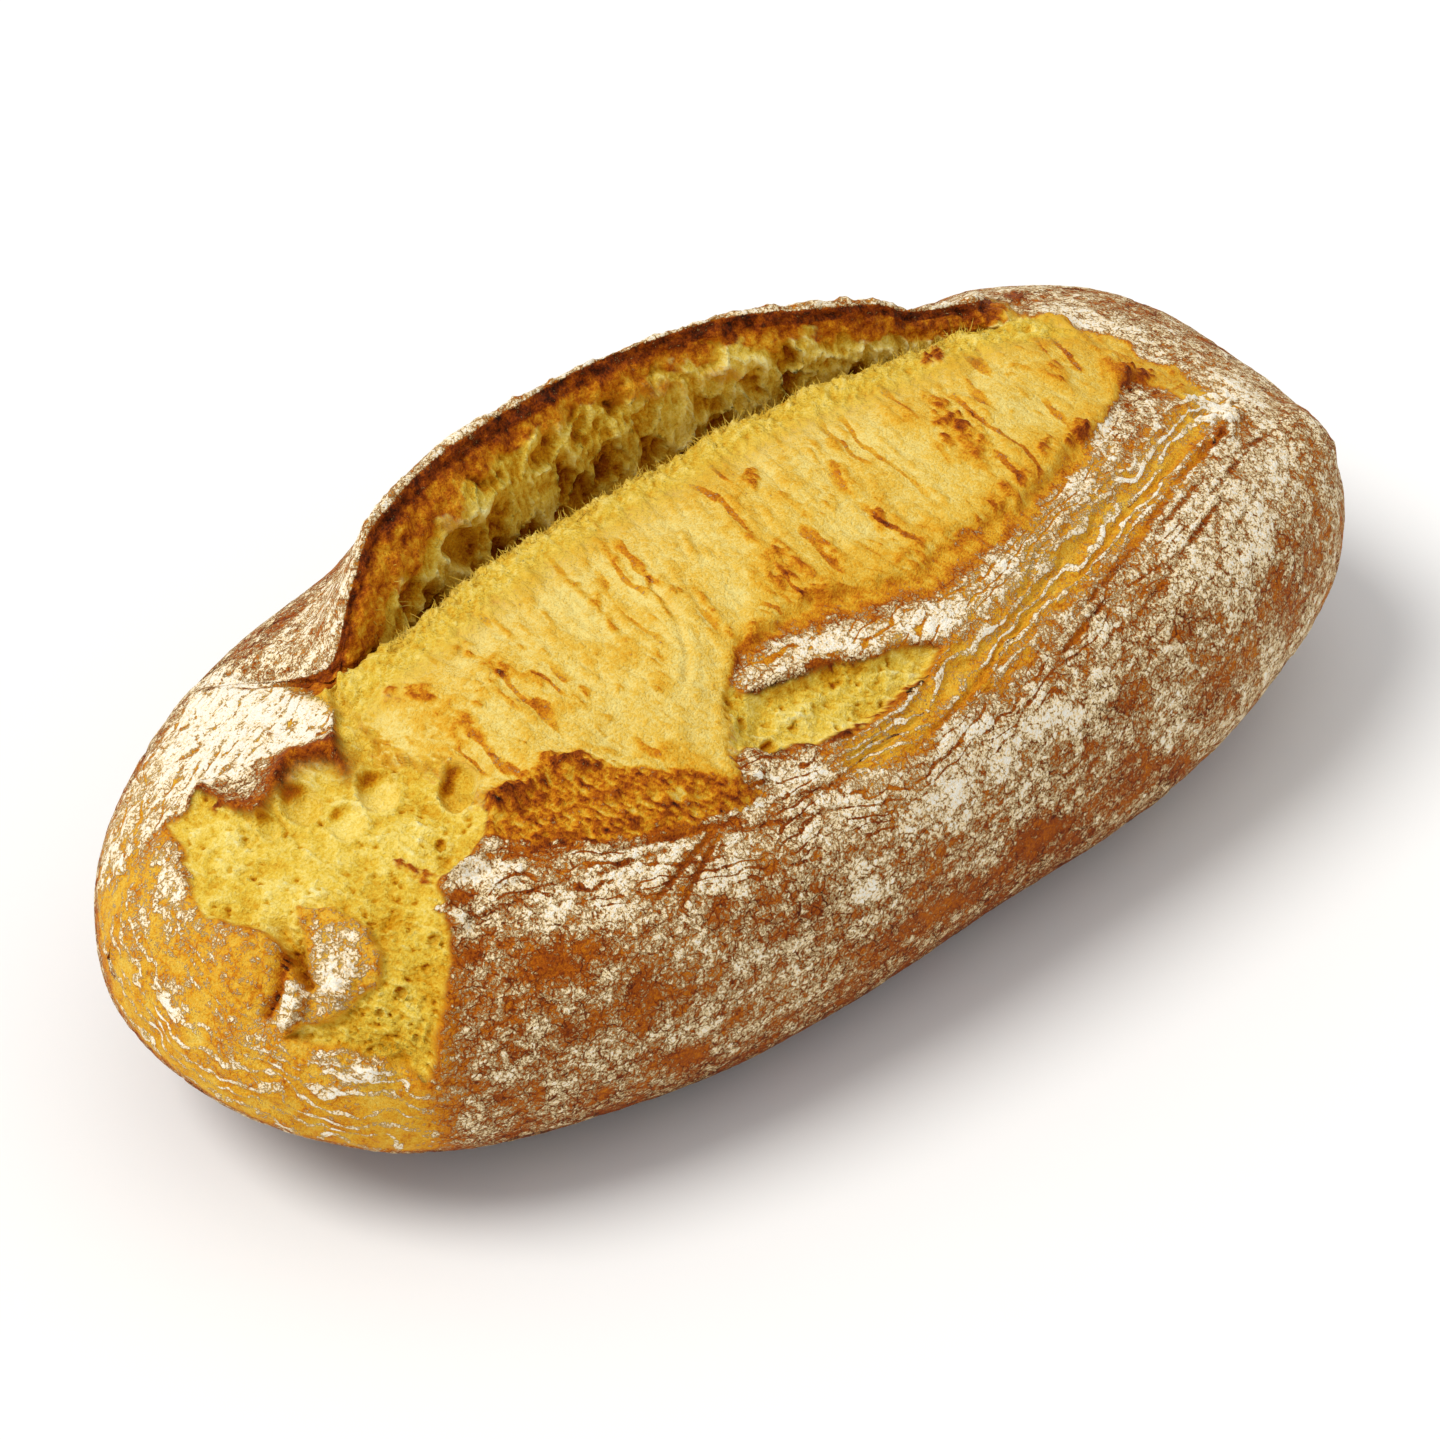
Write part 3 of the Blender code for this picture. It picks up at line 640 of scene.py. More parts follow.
def spots(at, places, jag, softness=1.0):
    """Sum of oval spots at photo places, with ragged edges."""
    total = np.zeros(len(at))
    for px, py, length, width, degrees, strength in places:
        away = at - photo_place(px, py)
        near = np.abs(away).max(axis=1) < 1.6 * max(length, width)
        if not near.any():
            continue
        along, across = turned(away[near], degrees)
        reach = np.hypot(along / (length / 2), across / (width / 2)) + jag[near]
        share = 1 - smooth_step(reach, 1 - 0.6 * softness, 1 + 0.6 * softness)
        total[near] = np.maximum(total[near], strength * share)
    return total


def grain(at, anchors):
    """Direction of the stretch marks at each sketch point, in degrees, from given directions."""
    across = np.zeros(len(at))
    along = np.zeros(len(at))
    for px, py, degrees in anchors:
        weight = 1 / (((at - photo_place(px, py)) ** 2).sum(axis=1) + 20) ** 2
        along += weight * math.cos(math.radians(2 * degrees))
        across += weight * math.sin(math.radians(2 * degrees))
    return np.degrees(np.arctan2(across, along)) / 2


def lumps(points):
    """Slow unevenness of the whole loaf: a sum of long waves in seeded directions."""
    rng = np.random.default_rng(LUMP_SEED)
    height = np.zeros(len(points))
    for _ in range(LUMP_WAVES):
        direction = rng.normal(size=3)
        direction /= np.linalg.norm(direction)
        length = rng.uniform(*LUMP_LENGTHS)
        height += np.sin(points @ direction * (2 * math.pi / length) + rng.uniform(0, 2 * math.pi))
    return height * LUMP_HEIGHT


def grid_normals(grid):
    """Outward normals of a grid of points, rows round the section by stations."""
    along = np.gradient(grid, axis=1)
    around = (np.roll(grid, -1, axis=0) - np.roll(grid, 1, axis=0)) / 2
    normals = np.cross(around, along)
    return normals / np.maximum(np.linalg.norm(normals, axis=2, keepdims=True), 1e-12)


def row_window(row, stretch, soft):
    """1 in a stretch of rows, with soft ends."""
    first, last = stretch
    return smooth_step(row, first - soft, first) * (1 - smooth_step(row, last, last + soft))


def wobbled(at, size, reach, seed):
    """Sketch points shifted by noise, so that outlines drawn with them are ragged."""
    shift = np.stack([rough(at, size, 3, seed), rough(at, size, 3, seed + 5)], axis=1)
    return at + shift * reach


class Skin:
    """Points of the skin with their relief and look, and the noises and outlines that the looks share."""

    def __init__(self, points, normals, row, wall_run):
        self.points = points
        self.x = points[:, 0]
        self.z = points[:, 2]
        self.row = row
        self.wall_run = wall_run
        at, toward = to_sketch(points)
        self.at = at.astype(np.float32)
        self.is_open = profile(self.x, EAR_OPEN)
        self.broad = noise(points, 34, 1)
        self.middling = noise(points, 12, 2)
        self.small = rough(points, 5, 3, 3)
        self.fine = rough(points, 1.6, 2, 8)
        facing = smooth_step((normals * toward).sum(axis=1), 0.05, 0.3)
        ear_rows = row_window(row, EAR_ROWS, 0.6) * smooth_step(self.is_open, 0.2, 0.8)
        self.shown = facing * (1 - ear_rows)
        crust_grain = grain(self.at, CRUST_GRAIN)
        self.crown_grain = grain(self.at, CROWN_GRAIN)
        self.wide_streaks = streaks(self.at, crust_grain, 1.6, 14, 11)
        self.thin_streaks = streaks(self.at, crust_grain, 0.8, 7, 24)
        self.fibres = streaks(self.at, self.crown_grain, 0.8, 5, 14)
        self.torn = wobbled(self.at, 7, 1.3, 21)
        bent = wobbled(self.at, 10, 1.5, 22)
        along, self.stretch_reach = along_across(bent, STRETCH_LINE)
        self.along_stretch = along / along.max()
        self.stretch_waves = wave_count((along, self.stretch_reach), STRETCH_SPACING, 11)
        self.end_waves = wave_count(along_across(bent, END_LINE), END_SPACING, 12)
        self.jag = 0.4 * rough(self.at, 1.8, 2, 31) + 0.6 * self.fibres
        self.crown_depth = depth_inside(self.torn, CROWN)
        self.tear_depth = depth_inside(self.torn, LEFT_TEAR)
        self.pocket_depth = depth_inside(self.torn, POCKET)
        self.island_depth = depth_inside(self.torn, ISLAND)
        self.knob_depth = depth_inside(self.torn, KNOB)
        self.petal_depth = depth_inside(self.at, PETAL)
        self.relief = np.zeros(len(points))
        self.bake = np.zeros(len(points))
        self.flour = np.zeros(len(points))
        self.crumb = np.zeros(len(points))
        self.tone = np.full(len(points), 0.6)
        self.ridged = np.zeros(len(points))
        self.waves = self.stretch_waves

    def inside(self, depth, soft):
        """1 inside an outline, where the photo shows it, with a soft edge."""
        return smooth_step(depth, -soft, soft) * self.shown

    def blend(self, share, **looks):
        """Mixes new values of some looks in, by a share at each point."""
        for name, value in looks.items():
            setattr(self, name, mix(getattr(self, name), value, share))


# The parts of the skin. Sizes of noises and streaks are in millimetres, and their last number is a seed.
# Bake, flour, crumb and tone run from about 0 to 1, and relief is in millimetres.


def plain_crust(skin):
    """Brown floured crust all over, barer and browner near the base, partly real and partly painted shade
    near the floor, ridged where it was stretched.
    """
    # Barer and browner near the base: partly real browning, partly painted shade near the floor.
    low = 1 - smooth_step(skin.z, 2, 30)
    ends = smooth_step(skin.along_stretch, 0, 0.06) * (1 - smooth_step(skin.along_stretch, 0.86, 0.98))
    stretched = (1 - smooth_step(np.abs(skin.stretch_reach) + 5 * skin.small, 6, 24)) * skin.shown * ends
    streaked = 0.5 * (1 - stretched) * skin.shown
    ridges = 0.75 * skin.wide_streaks + 0.45 * skin.thin_streaks
    hidden = 1 - skin.shown
    folded = thin_lines(noise(skin.points * HIDDEN_FOLDS, 11, 16), 0.07) * hidden
    folded *= smooth_step(skin.small, -0.5, 0.2)
    skin.broken = smooth_step(noise(skin.at, 8, 92) + 0.5 * skin.small, -0.5, 0.3)
    skin.ridged = -0.75 * stretched * skin.broken
    skin.relief = 0.22 * skin.middling + 0.18 * skin.small + 0.08 * skin.fine + 0.48 * ridges * streaked
    skin.relief += 0.14 * np.cos(2 * math.pi * skin.stretch_waves) * stretched - 0.5 * folded
    # Browner near the base, partly as painted shade.
    skin.bake = 0.73 + 0.05 * skin.broad + 0.06 * skin.middling + 0.10 * skin.small + 0.14 * low
    skin.bake += 0.12 * folded - 0.06 * stretched - 0.03 * smooth_step(skin.x, 40, 110)
    skin.flour = 0.72 + (0.07 + 0.10 * hidden) * skin.broad + 0.18 * skin.middling + 0.25 * skin.small
    skin.flour += 0.36 * ridges * streaked + 0.12 * stretched + 0.12 * smooth_step(skin.x, 0, 70)
    # Less flour near the base, partly as painted shade.
    skin.flour -= 0.36 * low + 0.5 * folded


def left_end(skin):
    """Golden left end with thin wavy flour lines, below a white floured shoulder."""
    at = skin.at
    golden = smooth_step(-at[:, 0] + 5 * skin.small, 50, 64) * skin.shown
    golden *= 1 - smooth_step(at[:, 1] + 3 * skin.small, -32, -14)
    patchy = smooth_step(noise(at, 11, 85) + 0.5 * skin.small, -0.5, 0.3)
    outer = smooth_step(skin.tear_depth, -26, -8) * smooth_step(at[:, 1], -80, -66)
    skin.blend(golden, bake=0.36 + 0.07 * skin.middling + 0.16 * skin.small + 0.05 * skin.fine,
               flour=0.20 + 0.14 * outer + 0.12 * skin.middling + 0.24 * skin.small + 0.22 * patchy * outer,
               ridged=mix(0.8, 0.3, outer) * (0.6 + 0.4 * skin.broken))
    skin.waves = np.where(golden > 0.5, skin.end_waves, skin.waves)
    skin.ridged *= np.abs(2 * golden - 1)
    skin.relief += golden * (0.10 * np.cos(2 * math.pi * skin.end_waves) + 0.15 * skin.wide_streaks)
    lines = smooth_step(0.9 * skin.thin_streaks + 0.7 * skin.wide_streaks, 0.15, 0.6)
    shoulder = skin.inside(depth_inside(skin.torn, SHOULDER), 1.5)
    white = smooth_step(at[:, 0] + at[:, 1] * 0.5, -128, -104)
    dashes = smooth_step(-skin.thin_streaks - 0.5 * skin.wide_streaks, 0.25, 0.85)
    floured = mix(0.95 + 0.35 * lines + 0.14 * skin.small, 1.60 - 0.75 * dashes + 0.22 * skin.small, white)
    skin.blend(shoulder, bake=0.40 + 0.12 * skin.small, flour=floured,
               ridged=-0.55 * (0.2 + 0.8 * skin.broken))
    skin.waves = np.where(shoulder > 0.5, skin.end_waves, skin.waves)
    skin.flour_limit = 1.22 + 0.22 * shoulder * white
    skin.relief += shoulder * (0.12 * np.cos(2 * math.pi * skin.end_waves) - 0.15 * dashes)


def stretch_band(skin):
    """Bare yellow dough between thin floured ridges, and the white strip above the pocket."""
    strip = smooth_step(depth_inside(skin.torn, STRIP), -1.5, 2.0) * skin.shown
    wave = np.cos(2 * math.pi * skin.stretch_waves)
    skin.blend(strip, bake=0.46 + 0.12 * skin.small, flour=0.98 + 0.3 * skin.small,
               ridged=-1.15 * skin.broken)
    skin.relief += strip * 0.12 * wave
    near_band = line_distance(wobbled(skin.at, 9, 1.8, 41), STRETCH_BAND)
    band = thin_lines(near_band, 6.5) * skin.shown
    skin.blend(0.95 * band, bake=0.33 + 0.12 * skin.small,
               flour=0.36 + 0.25 * skin.small + 0.15 * skin.middling, ridged=0.5 + 0.5 * skin.broken)
    skin.relief += band * 0.2 * wave
    margin = thin_lines(line_distance(skin.torn, CROWN_MARGIN), 3.8) * skin.shown
    skin.blend(margin, bake=0.42 + 0.14 * skin.small + 0.12 * skin.fibres + 0.06 * skin.fine,
               flour=0.12 + 0.2 * skin.small, ridged=0)


def torn_crumb(skin):
    """Cottony crumb of the left tear and the pocket: soft bubbles, fibres and a few pores. Its tone follows
    the relief, as painted shade in cups and pores and painted light on raised parts, with a painted shadow
    in the pocket's upper part.
    """
    at = skin.at
    tear = np.maximum(skin.tear_depth, np.where(skin.tear_depth > -14, skin.crown_depth, -9))
    in_tear = smooth_step(tear, -0.6, 0.6) * (1 - smooth_step(skin.island_depth, -0.6, 0.6)) * skin.shown
    pocket = skin.pocket_depth + 3 * (1 - smooth_step(at[:, 0], 2, 8))
    in_pocket = skin.inside(pocket, 0.5)
    torn = np.clip(in_tear + in_pocket, 0, 1)
    bent = wobbled(at, 4, 1.6, 51)
    bubble, bubble_second, bubble_tag = cells(bent, 5.5, 5)
    pit, _, pit_tag = cells(wobbled(at, 2, 0.6, 54), 1.6, 6)
    cups = (1 - smooth_step(bubble, 0.0, 0.75)) * (0.3 + 0.7 * bubble_tag)
    webs = thin_lines(bubble_second - bubble, 0.16)
    low = smooth_step(-at[:, 1], 30, 50)
    least_tag = 0.86 - 0.22 * np.maximum(low, in_pocket)
    pores = (1 - smooth_step(pit, 0.1, 0.55)) * smooth_step(pit_tag + 0.25 * skin.small, least_tag, 1.0)
    lint = rough(at, 1.1, 2, 86)
    strands = smooth_step(streaks(at, skin.crown_grain + 50 * noise(at, 9, 56), 0.7, 6, 57), 0.25, 0.8)
    relief = 0.8 * skin.middling + 0.5 * skin.small + 0.25 * skin.fibres + 0.18 * lint - 0.7 * cups
    relief += 0.25 * webs - 0.7 * pores + 0.4 * strands
    # The crumb's tone follows its relief: painted shade in cups and pores, painted light on raised parts.
    tone = 0.71 + 0.12 * skin.middling + 0.12 * skin.small + 0.08 * skin.fibres + 0.06 * lint - 0.08 * cups
    tone += 0.05 * webs - 0.36 * pores + 0.12 * strands - 0.05 * low
    skin.blend(torn, crumb=1.0, flour=0.0, ridged=0, relief=relief, tone=tone)
    # Painted shadow under the strip's overhang, darkening the upper part of the pocket.
    pocket_shadow = in_pocket * smooth_step(at @ np.array([-0.35, 0.94]), -1.5, 2.5) * smooth_step(at[:, 0], 6, 12)
    skin.tone += 0.05 * in_pocket * (1 + 1.4 * strands) - 0.24 * pocket_shadow * (0.8 + skin.small)


def bubbles(skin):
    """Round bubbles open in the torn crumb: smooth inside, with a painted shadow on the upper left edge and
    a painted highlight on the raised lip.
    """
    skin.tone += 0.14 * spots(skin.at, PALE_CRUMB, skin.jag, 1.8)
    for px, py, radius, depth, shade in BUBBLES:
        away = skin.at - photo_place(px, py)
        reach = np.linalg.norm(away, axis=1) / radius + 0.10 * skin.small + 0.06 * skin.fibres
        near = reach < 1.5
        inside = (1 - smooth_step(reach[near], 0.85, 1.05)) * smooth_step(skin.shown[near], 0.5, 1)
        bowl = -depth * np.sqrt(np.clip(1 - reach[near] ** 2, 0, 1))
        upper_left = away[near] @ np.array([-0.6, 0.8]) / radius
        # Painted shadow on the upper left edge inside each bubble.
        tone = 0.86 - shade - 0.55 * smooth_step(upper_left, 0.3, 0.9) + 0.05 * skin.small[near]
        skin.relief[near] = mix(skin.relief[near], skin.relief[near] * 0.3 + bowl, inside)
        skin.tone[near] = mix(skin.tone[near], tone, 0.85 * inside)
        skin.crumb[near] = np.maximum(skin.crumb[near], inside)
        lip = thin_lines(reach[near] - 1.08, 0.12) * skin.shown[near]
        skin.relief[near] += 0.5 * lip
        # Painted highlight on the raised lip.
        skin.tone[near] += 0.10 * lip


def crown(skin):
    """New crust, pale yellow to golden, with soft swellings, orange stains, streaks and a bristly back."""
    at = skin.at
    beside_pocket = smooth_step(skin.pocket_depth, -6, -1) * (1 - smooth_step(at[:, 0], 6, 12))
    beside_tear = np.maximum(smooth_step(skin.tear_depth, -12, -1), 0.6 * beside_pocket)
    ragged = 0.5 * skin.small + 0.6 * skin.fibres + beside_tear * (1.6 * skin.small + 3.0 * skin.fibres)
    in_crown = smooth_step(skin.crown_depth + ragged, -0.7 - 0.5 * beside_tear, 0.7 + 0.8 * beside_tear)
    in_crown *= skin.shown
    streak = streaks(at, skin.crown_grain, 2.0, 13, 13)
    warm = smooth_step(at @ np.array([0.8, -0.6]), 5, 62)
    stains = smooth_step(rough(at, 10, 4, 82) + 0.30 * streak + 0.35 * warm, 0.10, 0.50)
    creases = smooth_step(streak + 0.4 * skin.fibres, 0.45, 1.05)
    creases *= smooth_step(noise(at, 15, 81), -0.25, 0.5)
    dabs = streaks(at, skin.crown_grain, 0.9, 8, 83) + 0.7 * rough(at, 5, 2, 88)
    dabs = smooth_step(dabs + 0.6 * rough(at, 18, 2, 84), 0.85, 1.15)
    patches = spots(at, STAINS, 1.6 * skin.jag, 1.7)
    front = (1 - smooth_step(skin.crown_depth + 2.5 * skin.small, 0, 9)) * smooth_step(at[:, 0], -20, 5)
    bake = 0.10 + 0.03 * warm + 0.04 * skin.broad + 0.06 * skin.middling + 0.09 * skin.small
    bake += 0.06 * skin.fine + 0.13 * stains + 0.15 * creases + 0.22 * dabs + 0.06 * skin.fibres
    bake += 0.12 * front + 0.32 * patches
    relief = 0.85 * skin.middling + 0.42 * skin.small + 0.32 * streak + 0.22 * skin.fibres
    relief += 0.12 * skin.fine + 0.30 * stains + 0.35 * dabs + 0.3 * patches
    relief += ridge(at, CROWN_CREASE, CREASE_RIDGE) + ridge(at, CROWN_CREASE, CREASE_GROOVE)
    along, across = turned(at, CROWN_TURN)
    crown_waves = wave_count((along, across), CROWN_SPACING, 13)
    few = smooth_step(noise(np.stack([along / 2, across], axis=1), 7, 93), 0.1, 0.5)
    skin.blend(in_crown, bake=bake, flour=-0.4, crumb=0.0, relief=relief, ridged=0.3 * few)
    skin.waves = np.where(in_crown > 0.5, crown_waves, skin.waves)
    skin.ridged *= np.abs(2 * in_crown - 1)
    back_strip = skin.inside(depth_inside(skin.torn, BACK_STRIP), 0.7)
    skin.blend(back_strip, crumb=0.0, flour=0.0,
               bake=0.30 + 0.14 * skin.small + 0.12 * skin.fibres + 0.10 * rough(at, 2.2, 2, 89))
    skin.relief += back_strip * (0.3 * skin.fibres + 0.3 * skin.small)
    bristly = row_window(skin.row, BRISTLE_ROWS, 0.9) * smooth_step(skin.is_open, 0.2, 0.8)
    bristle = streaks(at, np.full(len(at), BRISTLE_TURN), 0.6, 2.2, 87)
    skin.blend(bristly, crumb=1.0, flour=0.0, tone=0.71 + 0.18 * bristle + 0.10 * skin.small)
    skin.relief += bristly * (0.45 * bristle + 0.4 * skin.fine)


def lips(skin):
    """Islands of old crust, brown edges, crags and flour clumps, a painted shadow in the gap beside the
    island, and a darker line along the knob's crease.
    """
    at = skin.at
    speckle = rough(at, 2.2, 3, 95)
    islands = skin.inside(np.maximum(skin.island_depth, skin.knob_depth - 1), 0.8)
    inner = smooth_step(skin.island_depth + 2 * skin.small, 0, 6)
    skin.blend(islands, bake=0.38 + 0.16 * speckle, flour=0.42 + 0.50 * inner + 0.40 * speckle,
               crumb=0.0, ridged=0)
    skin.relief += islands * 0.35 * speckle
    petal = skin.inside(skin.petal_depth, 0.6)
    skin.blend(petal, flour=1.15 + 0.2 * speckle, crumb=0.0)
    # Painted shadow in the gap beside the island, and a darker line along the knob's crease.
    to_gap = np.minimum(line_distance(at, KNOB_CREASE), line_distance(at, ISLAND_GAP))
    gap_shadow_and_crease = thin_lines(to_gap, 0.8) * skin.shown
    skin.bake += 0.3 * gap_shadow_and_crease
    skin.tone -= 0.3 * gap_shadow_and_crease
    skin.flour -= 0.8 * gap_shadow_and_crease
    ragged = wobbled(at, 4, 2.2, 91) + 0.5 * skin.jag[:, None]
    jagged = skin.inside(depth_inside(ragged, JAGGED_BAND), 0.8)
    skin.blend(jagged, flour=0.10 + 0.2 * skin.small, crumb=0.0, ridged=0,
               bake=0.51 + 0.20 * speckle + 0.16 * rough(at, 1.1, 2, 96) + 0.34 * skin.fibres)
    skin.relief += jagged * (0.5 * speckle + 0.4 * skin.fibres)
    edge_distance = np.minimum(np.abs(skin.tear_depth), np.abs(skin.pocket_depth))
    edges = thin_lines(edge_distance, 0.9) * skin.shown * (1 - smooth_step(skin.crown_depth, -3, 0))
    skin.bake += 0.2 * edges * (0.6 + skin.small)
    skin.flour -= 0.25 * edges
    crags = spots(at, CRAGS, 1.3 * skin.jag) * skin.shown
    crags *= 0.55 + 0.45 * smooth_step(speckle, -0.45, 0.1)
    skin.blend(np.clip(crags, 0, 1) * 0.9, bake=0.80 + 0.22 * speckle)
    skin.flour -= 0.8 * crags
    skin.crumb = skin.crumb * (1 - smooth_step(crags, 0.2, 0.55))
    skin.relief += crags * (0.9 + 0.8 * speckle)
    # Flour taken away in bare patches, some of them painted shade on the lower front.
    skin.flour -= spots(at, BARE_AND_PAINTED_SHADE_PATCHES, skin.jag, 1.6) * skin.shown
    creases = spots(at, CREASES, 0.4 * skin.jag, 0.9) * skin.shown
    skin.flour -= 0.7 * creases
    skin.bake += 0.05 * creases
    skin.relief -= 0.5 * creases
    off_crown = 1 - smooth_step(skin.crown_depth, -1, 1)
    skin.flour += spots(at, FLOUR_PATCHES, skin.jag, 1.5) * skin.shown * off_crown
    clumps = spots(at, FLOUR_CLUMPS, skin.jag) * skin.shown
    skin.flour = np.minimum(skin.flour, skin.flour_limit + 0.2 * speckle)
    skin.flour = np.maximum(skin.flour, clumps * (1.3 + 0.3 * speckle))
    curl = thin_lines(line_distance(skin.torn, CURLED_LIP), 2.4) * skin.shown
    skin.blend(curl, flour=0.1 + 0.2 * speckle, bake=0.75 + 0.2 * speckle, crumb=0.0)
    skin.crumb = skin.crumb * (1 - smooth_step(clumps, 0.3, 0.6))
    skin.relief += clumps * (1.3 + 0.8 * speckle)


def tears(skin):
    """Relief of the tears and lips themselves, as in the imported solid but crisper."""
    at = skin.at
    relief = step_up(skin.crown_depth, CROWN_RISE) * (1 - smooth_step(skin.tear_depth, -12, -1))
    relief += step_up(skin.tear_depth, LEFT_TEAR_SINK) * mix(0.4, 1, smooth_step(at[:, 0], -108, -96))
    relief += step_up(skin.pocket_depth, POCKET_SINK) * smooth_step(at[:, 0], 1, 10)
    relief += step_up(skin.island_depth, ISLAND_RISE) + step_up(skin.knob_depth - 2, KNOB_BULGE)
    relief += step_up(skin.petal_depth, PETAL_RISE)
    relief += ridge(at, KNOB_CREASE, KNOB_GROOVE) + ridge(at, ISLAND_GAP, GAP_GROOVE)
    relief += ridge(skin.torn, CURLED_LIP, CURL_RIDGE) + ridge(skin.torn, LOBE_LIP, CURL_RIDGE)
    relief += ridge(skin.torn, SHOULDER_LIP, SHOULDER_RIDGE) + ridge(skin.torn, FLAP_LIP, FLAP_RIDGE)
    relief += ridge(skin.torn, JAGGED_LIP, JAGGED_RIDGE) + ridge(at, STRETCH_BAND, STRETCH_GROOVE)
    relief += ridge(at, END_NUB, NUB_RIDGE) + ridge(at, BACK_TEAR, BACK_TEAR_GROOVE)
    skin.relief += relief * skin.shown


def ear_wall(skin):
    """The ear's torn side: lobes of stretched crumb, burnt under the rim, dark at its foot. Its tone
    follows the relief, as painted shade in hollows and the big pore and painted light on raised parts, and
    the lower wall is painted lighter against the shade at its foot.
    """
    wall = row_window(skin.row, WALL_ROWS, 0.4) * smooth_step(skin.is_open, 0.3, 0.9)
    at = np.stack([skin.x, skin.wall_run], axis=1)
    bent = wobbled(at, 9, 3.2, 61)
    lobe, lobe_second, lobe_tag = cells(bent * np.array([1, 0.6]), 6.5, 7)
    cup, cup_second, cup_tag = cells(wobbled(at, 3, 1.2, 68) * np.array([1, 0.7]), 2.8, 8)
    hollow = (1 - smooth_step(lobe, 0.1, 0.75)) * smooth_step(lobe_tag, 0.25, 0.8)
    small_hollow = (1 - smooth_step(cup, 0.05, 0.6)) * smooth_step(cup_tag, 0.4, 0.9)
    webs = thin_lines(lobe_second - lobe, 0.12)
    small_webs = thin_lines(cup_second - cup, 0.14)
    strands = streaks(at, 90 + 30 * noise(at, 12, 63), 0.8, 5, 64)
    swell = rough(at, 12, 3, 69)
    left = smooth_step(-skin.x, 35, 70)
    burnt_to = 7.0 + 4.0 * rough(at, 8, 4, 65) + 8 * left
    burnt = (1 - smooth_step(skin.wall_run, burnt_to - 1.5, burnt_to + 1.5)) * wall
    big_pore = np.linalg.norm((skin.at - photo_place(*BIG_PORE)) / BIG_PORE_SIZE, axis=1)
    pore = (1 - smooth_step(big_pore, 0.55, 1.0)) * wall
    pore_edge = thin_lines(big_pore - 1.05, 0.16) * wall
    relief = 1.7 * swell - 2.6 * hollow - 0.8 * small_hollow + 0.7 * webs + 0.3 * small_webs + 0.4 * strands
    crusty = 1.2 * rough(skin.points, 3.2, 3, 66) + 0.9 * swell
    relief = mix(mix(relief, crusty, burnt), -3.2, pore) + 0.6 * pore_edge
    # The tone follows the relief: painted shade in hollows, painted light on swellings, webs and strands.
    tone = 0.62 + 0.16 * swell - 0.38 * hollow - 0.20 * small_hollow + 0.20 * webs + 0.10 * small_webs
    # The lower wall is painted lighter against the shade at its foot.
    tone += 0.14 * strands + 0.10 * smooth_step(skin.x, -20, 40) + 0.06 * smooth_step(skin.row, 14.6, 15.6)
    # Painted shade inside the big pore and a painted highlight along its edge.
    tone = mix(tone, 0.42 + 0.1 * skin.small, pore) + 0.2 * pore_edge
    flakes = spots(skin.at, WALL_FLAKES, skin.jag) * wall
    scorch = smooth_step(skin.wall_run, 0, 7)
    bake = mix(0.73, 0.52, scorch) + 0.26 * rough(skin.points, 2.4, 3, 67) + 0.14 * skin.small
    bake += 0.1 * strands
    bake = mix(bake, 0.46 + 0.15 * skin.small, flakes)
    skin.blend(wall, relief=relief + 0.8 * flakes, tone=tone, flour=0.0, bake=bake,
               crumb=1 - np.maximum(smooth_step(burnt, 0.3, 0.7), flakes))


def ear_rim(skin):
    """Broken edge of the ear's crust, nearly black in places, with flour just outside it."""
    opened = smooth_step(skin.is_open, 0.3, 0.9)
    char = rough(skin.points, 3, 3, 71)
    outside = row_window(skin.row, RIM_OUTSIDE_ROWS, 0.3) * opened
    skin.blend(outside, bake=0.62 + 0.18 * char, flour=0.95 + 0.5 * rough(skin.points, 4, 3, 74))
    rim = row_window(skin.row, RIM_ROWS, 0.2) * opened
    skin.blend(rim, bake=0.81 + 0.18 * char + 0.1 * skin.fine,
               flour=0.05 + 0.3 * rough(skin.points, 3, 2, 72), crumb=0.0)
    edge = row_window(skin.row, RIM_RELIEF_ROWS, 0.5) * opened
    skin.relief += edge * (0.8 * rough(skin.points, 6, 3, 73) + 0.5 * rough(skin.points, 2.0, 2, 75))


def surface_looks(skin):
    """Relief of each point along its normal, and its look: bake, flour, crumb, crumb tone and ridges."""
    for add_part in PARTS:
        add_part(skin)
    return skin.relief, [getattr(skin, name) for name in LOOK_NAMES]


PARTS = (plain_crust, left_end, stretch_band, torn_crumb, crown, bubbles, lips, tears, ear_wall, ear_rim)


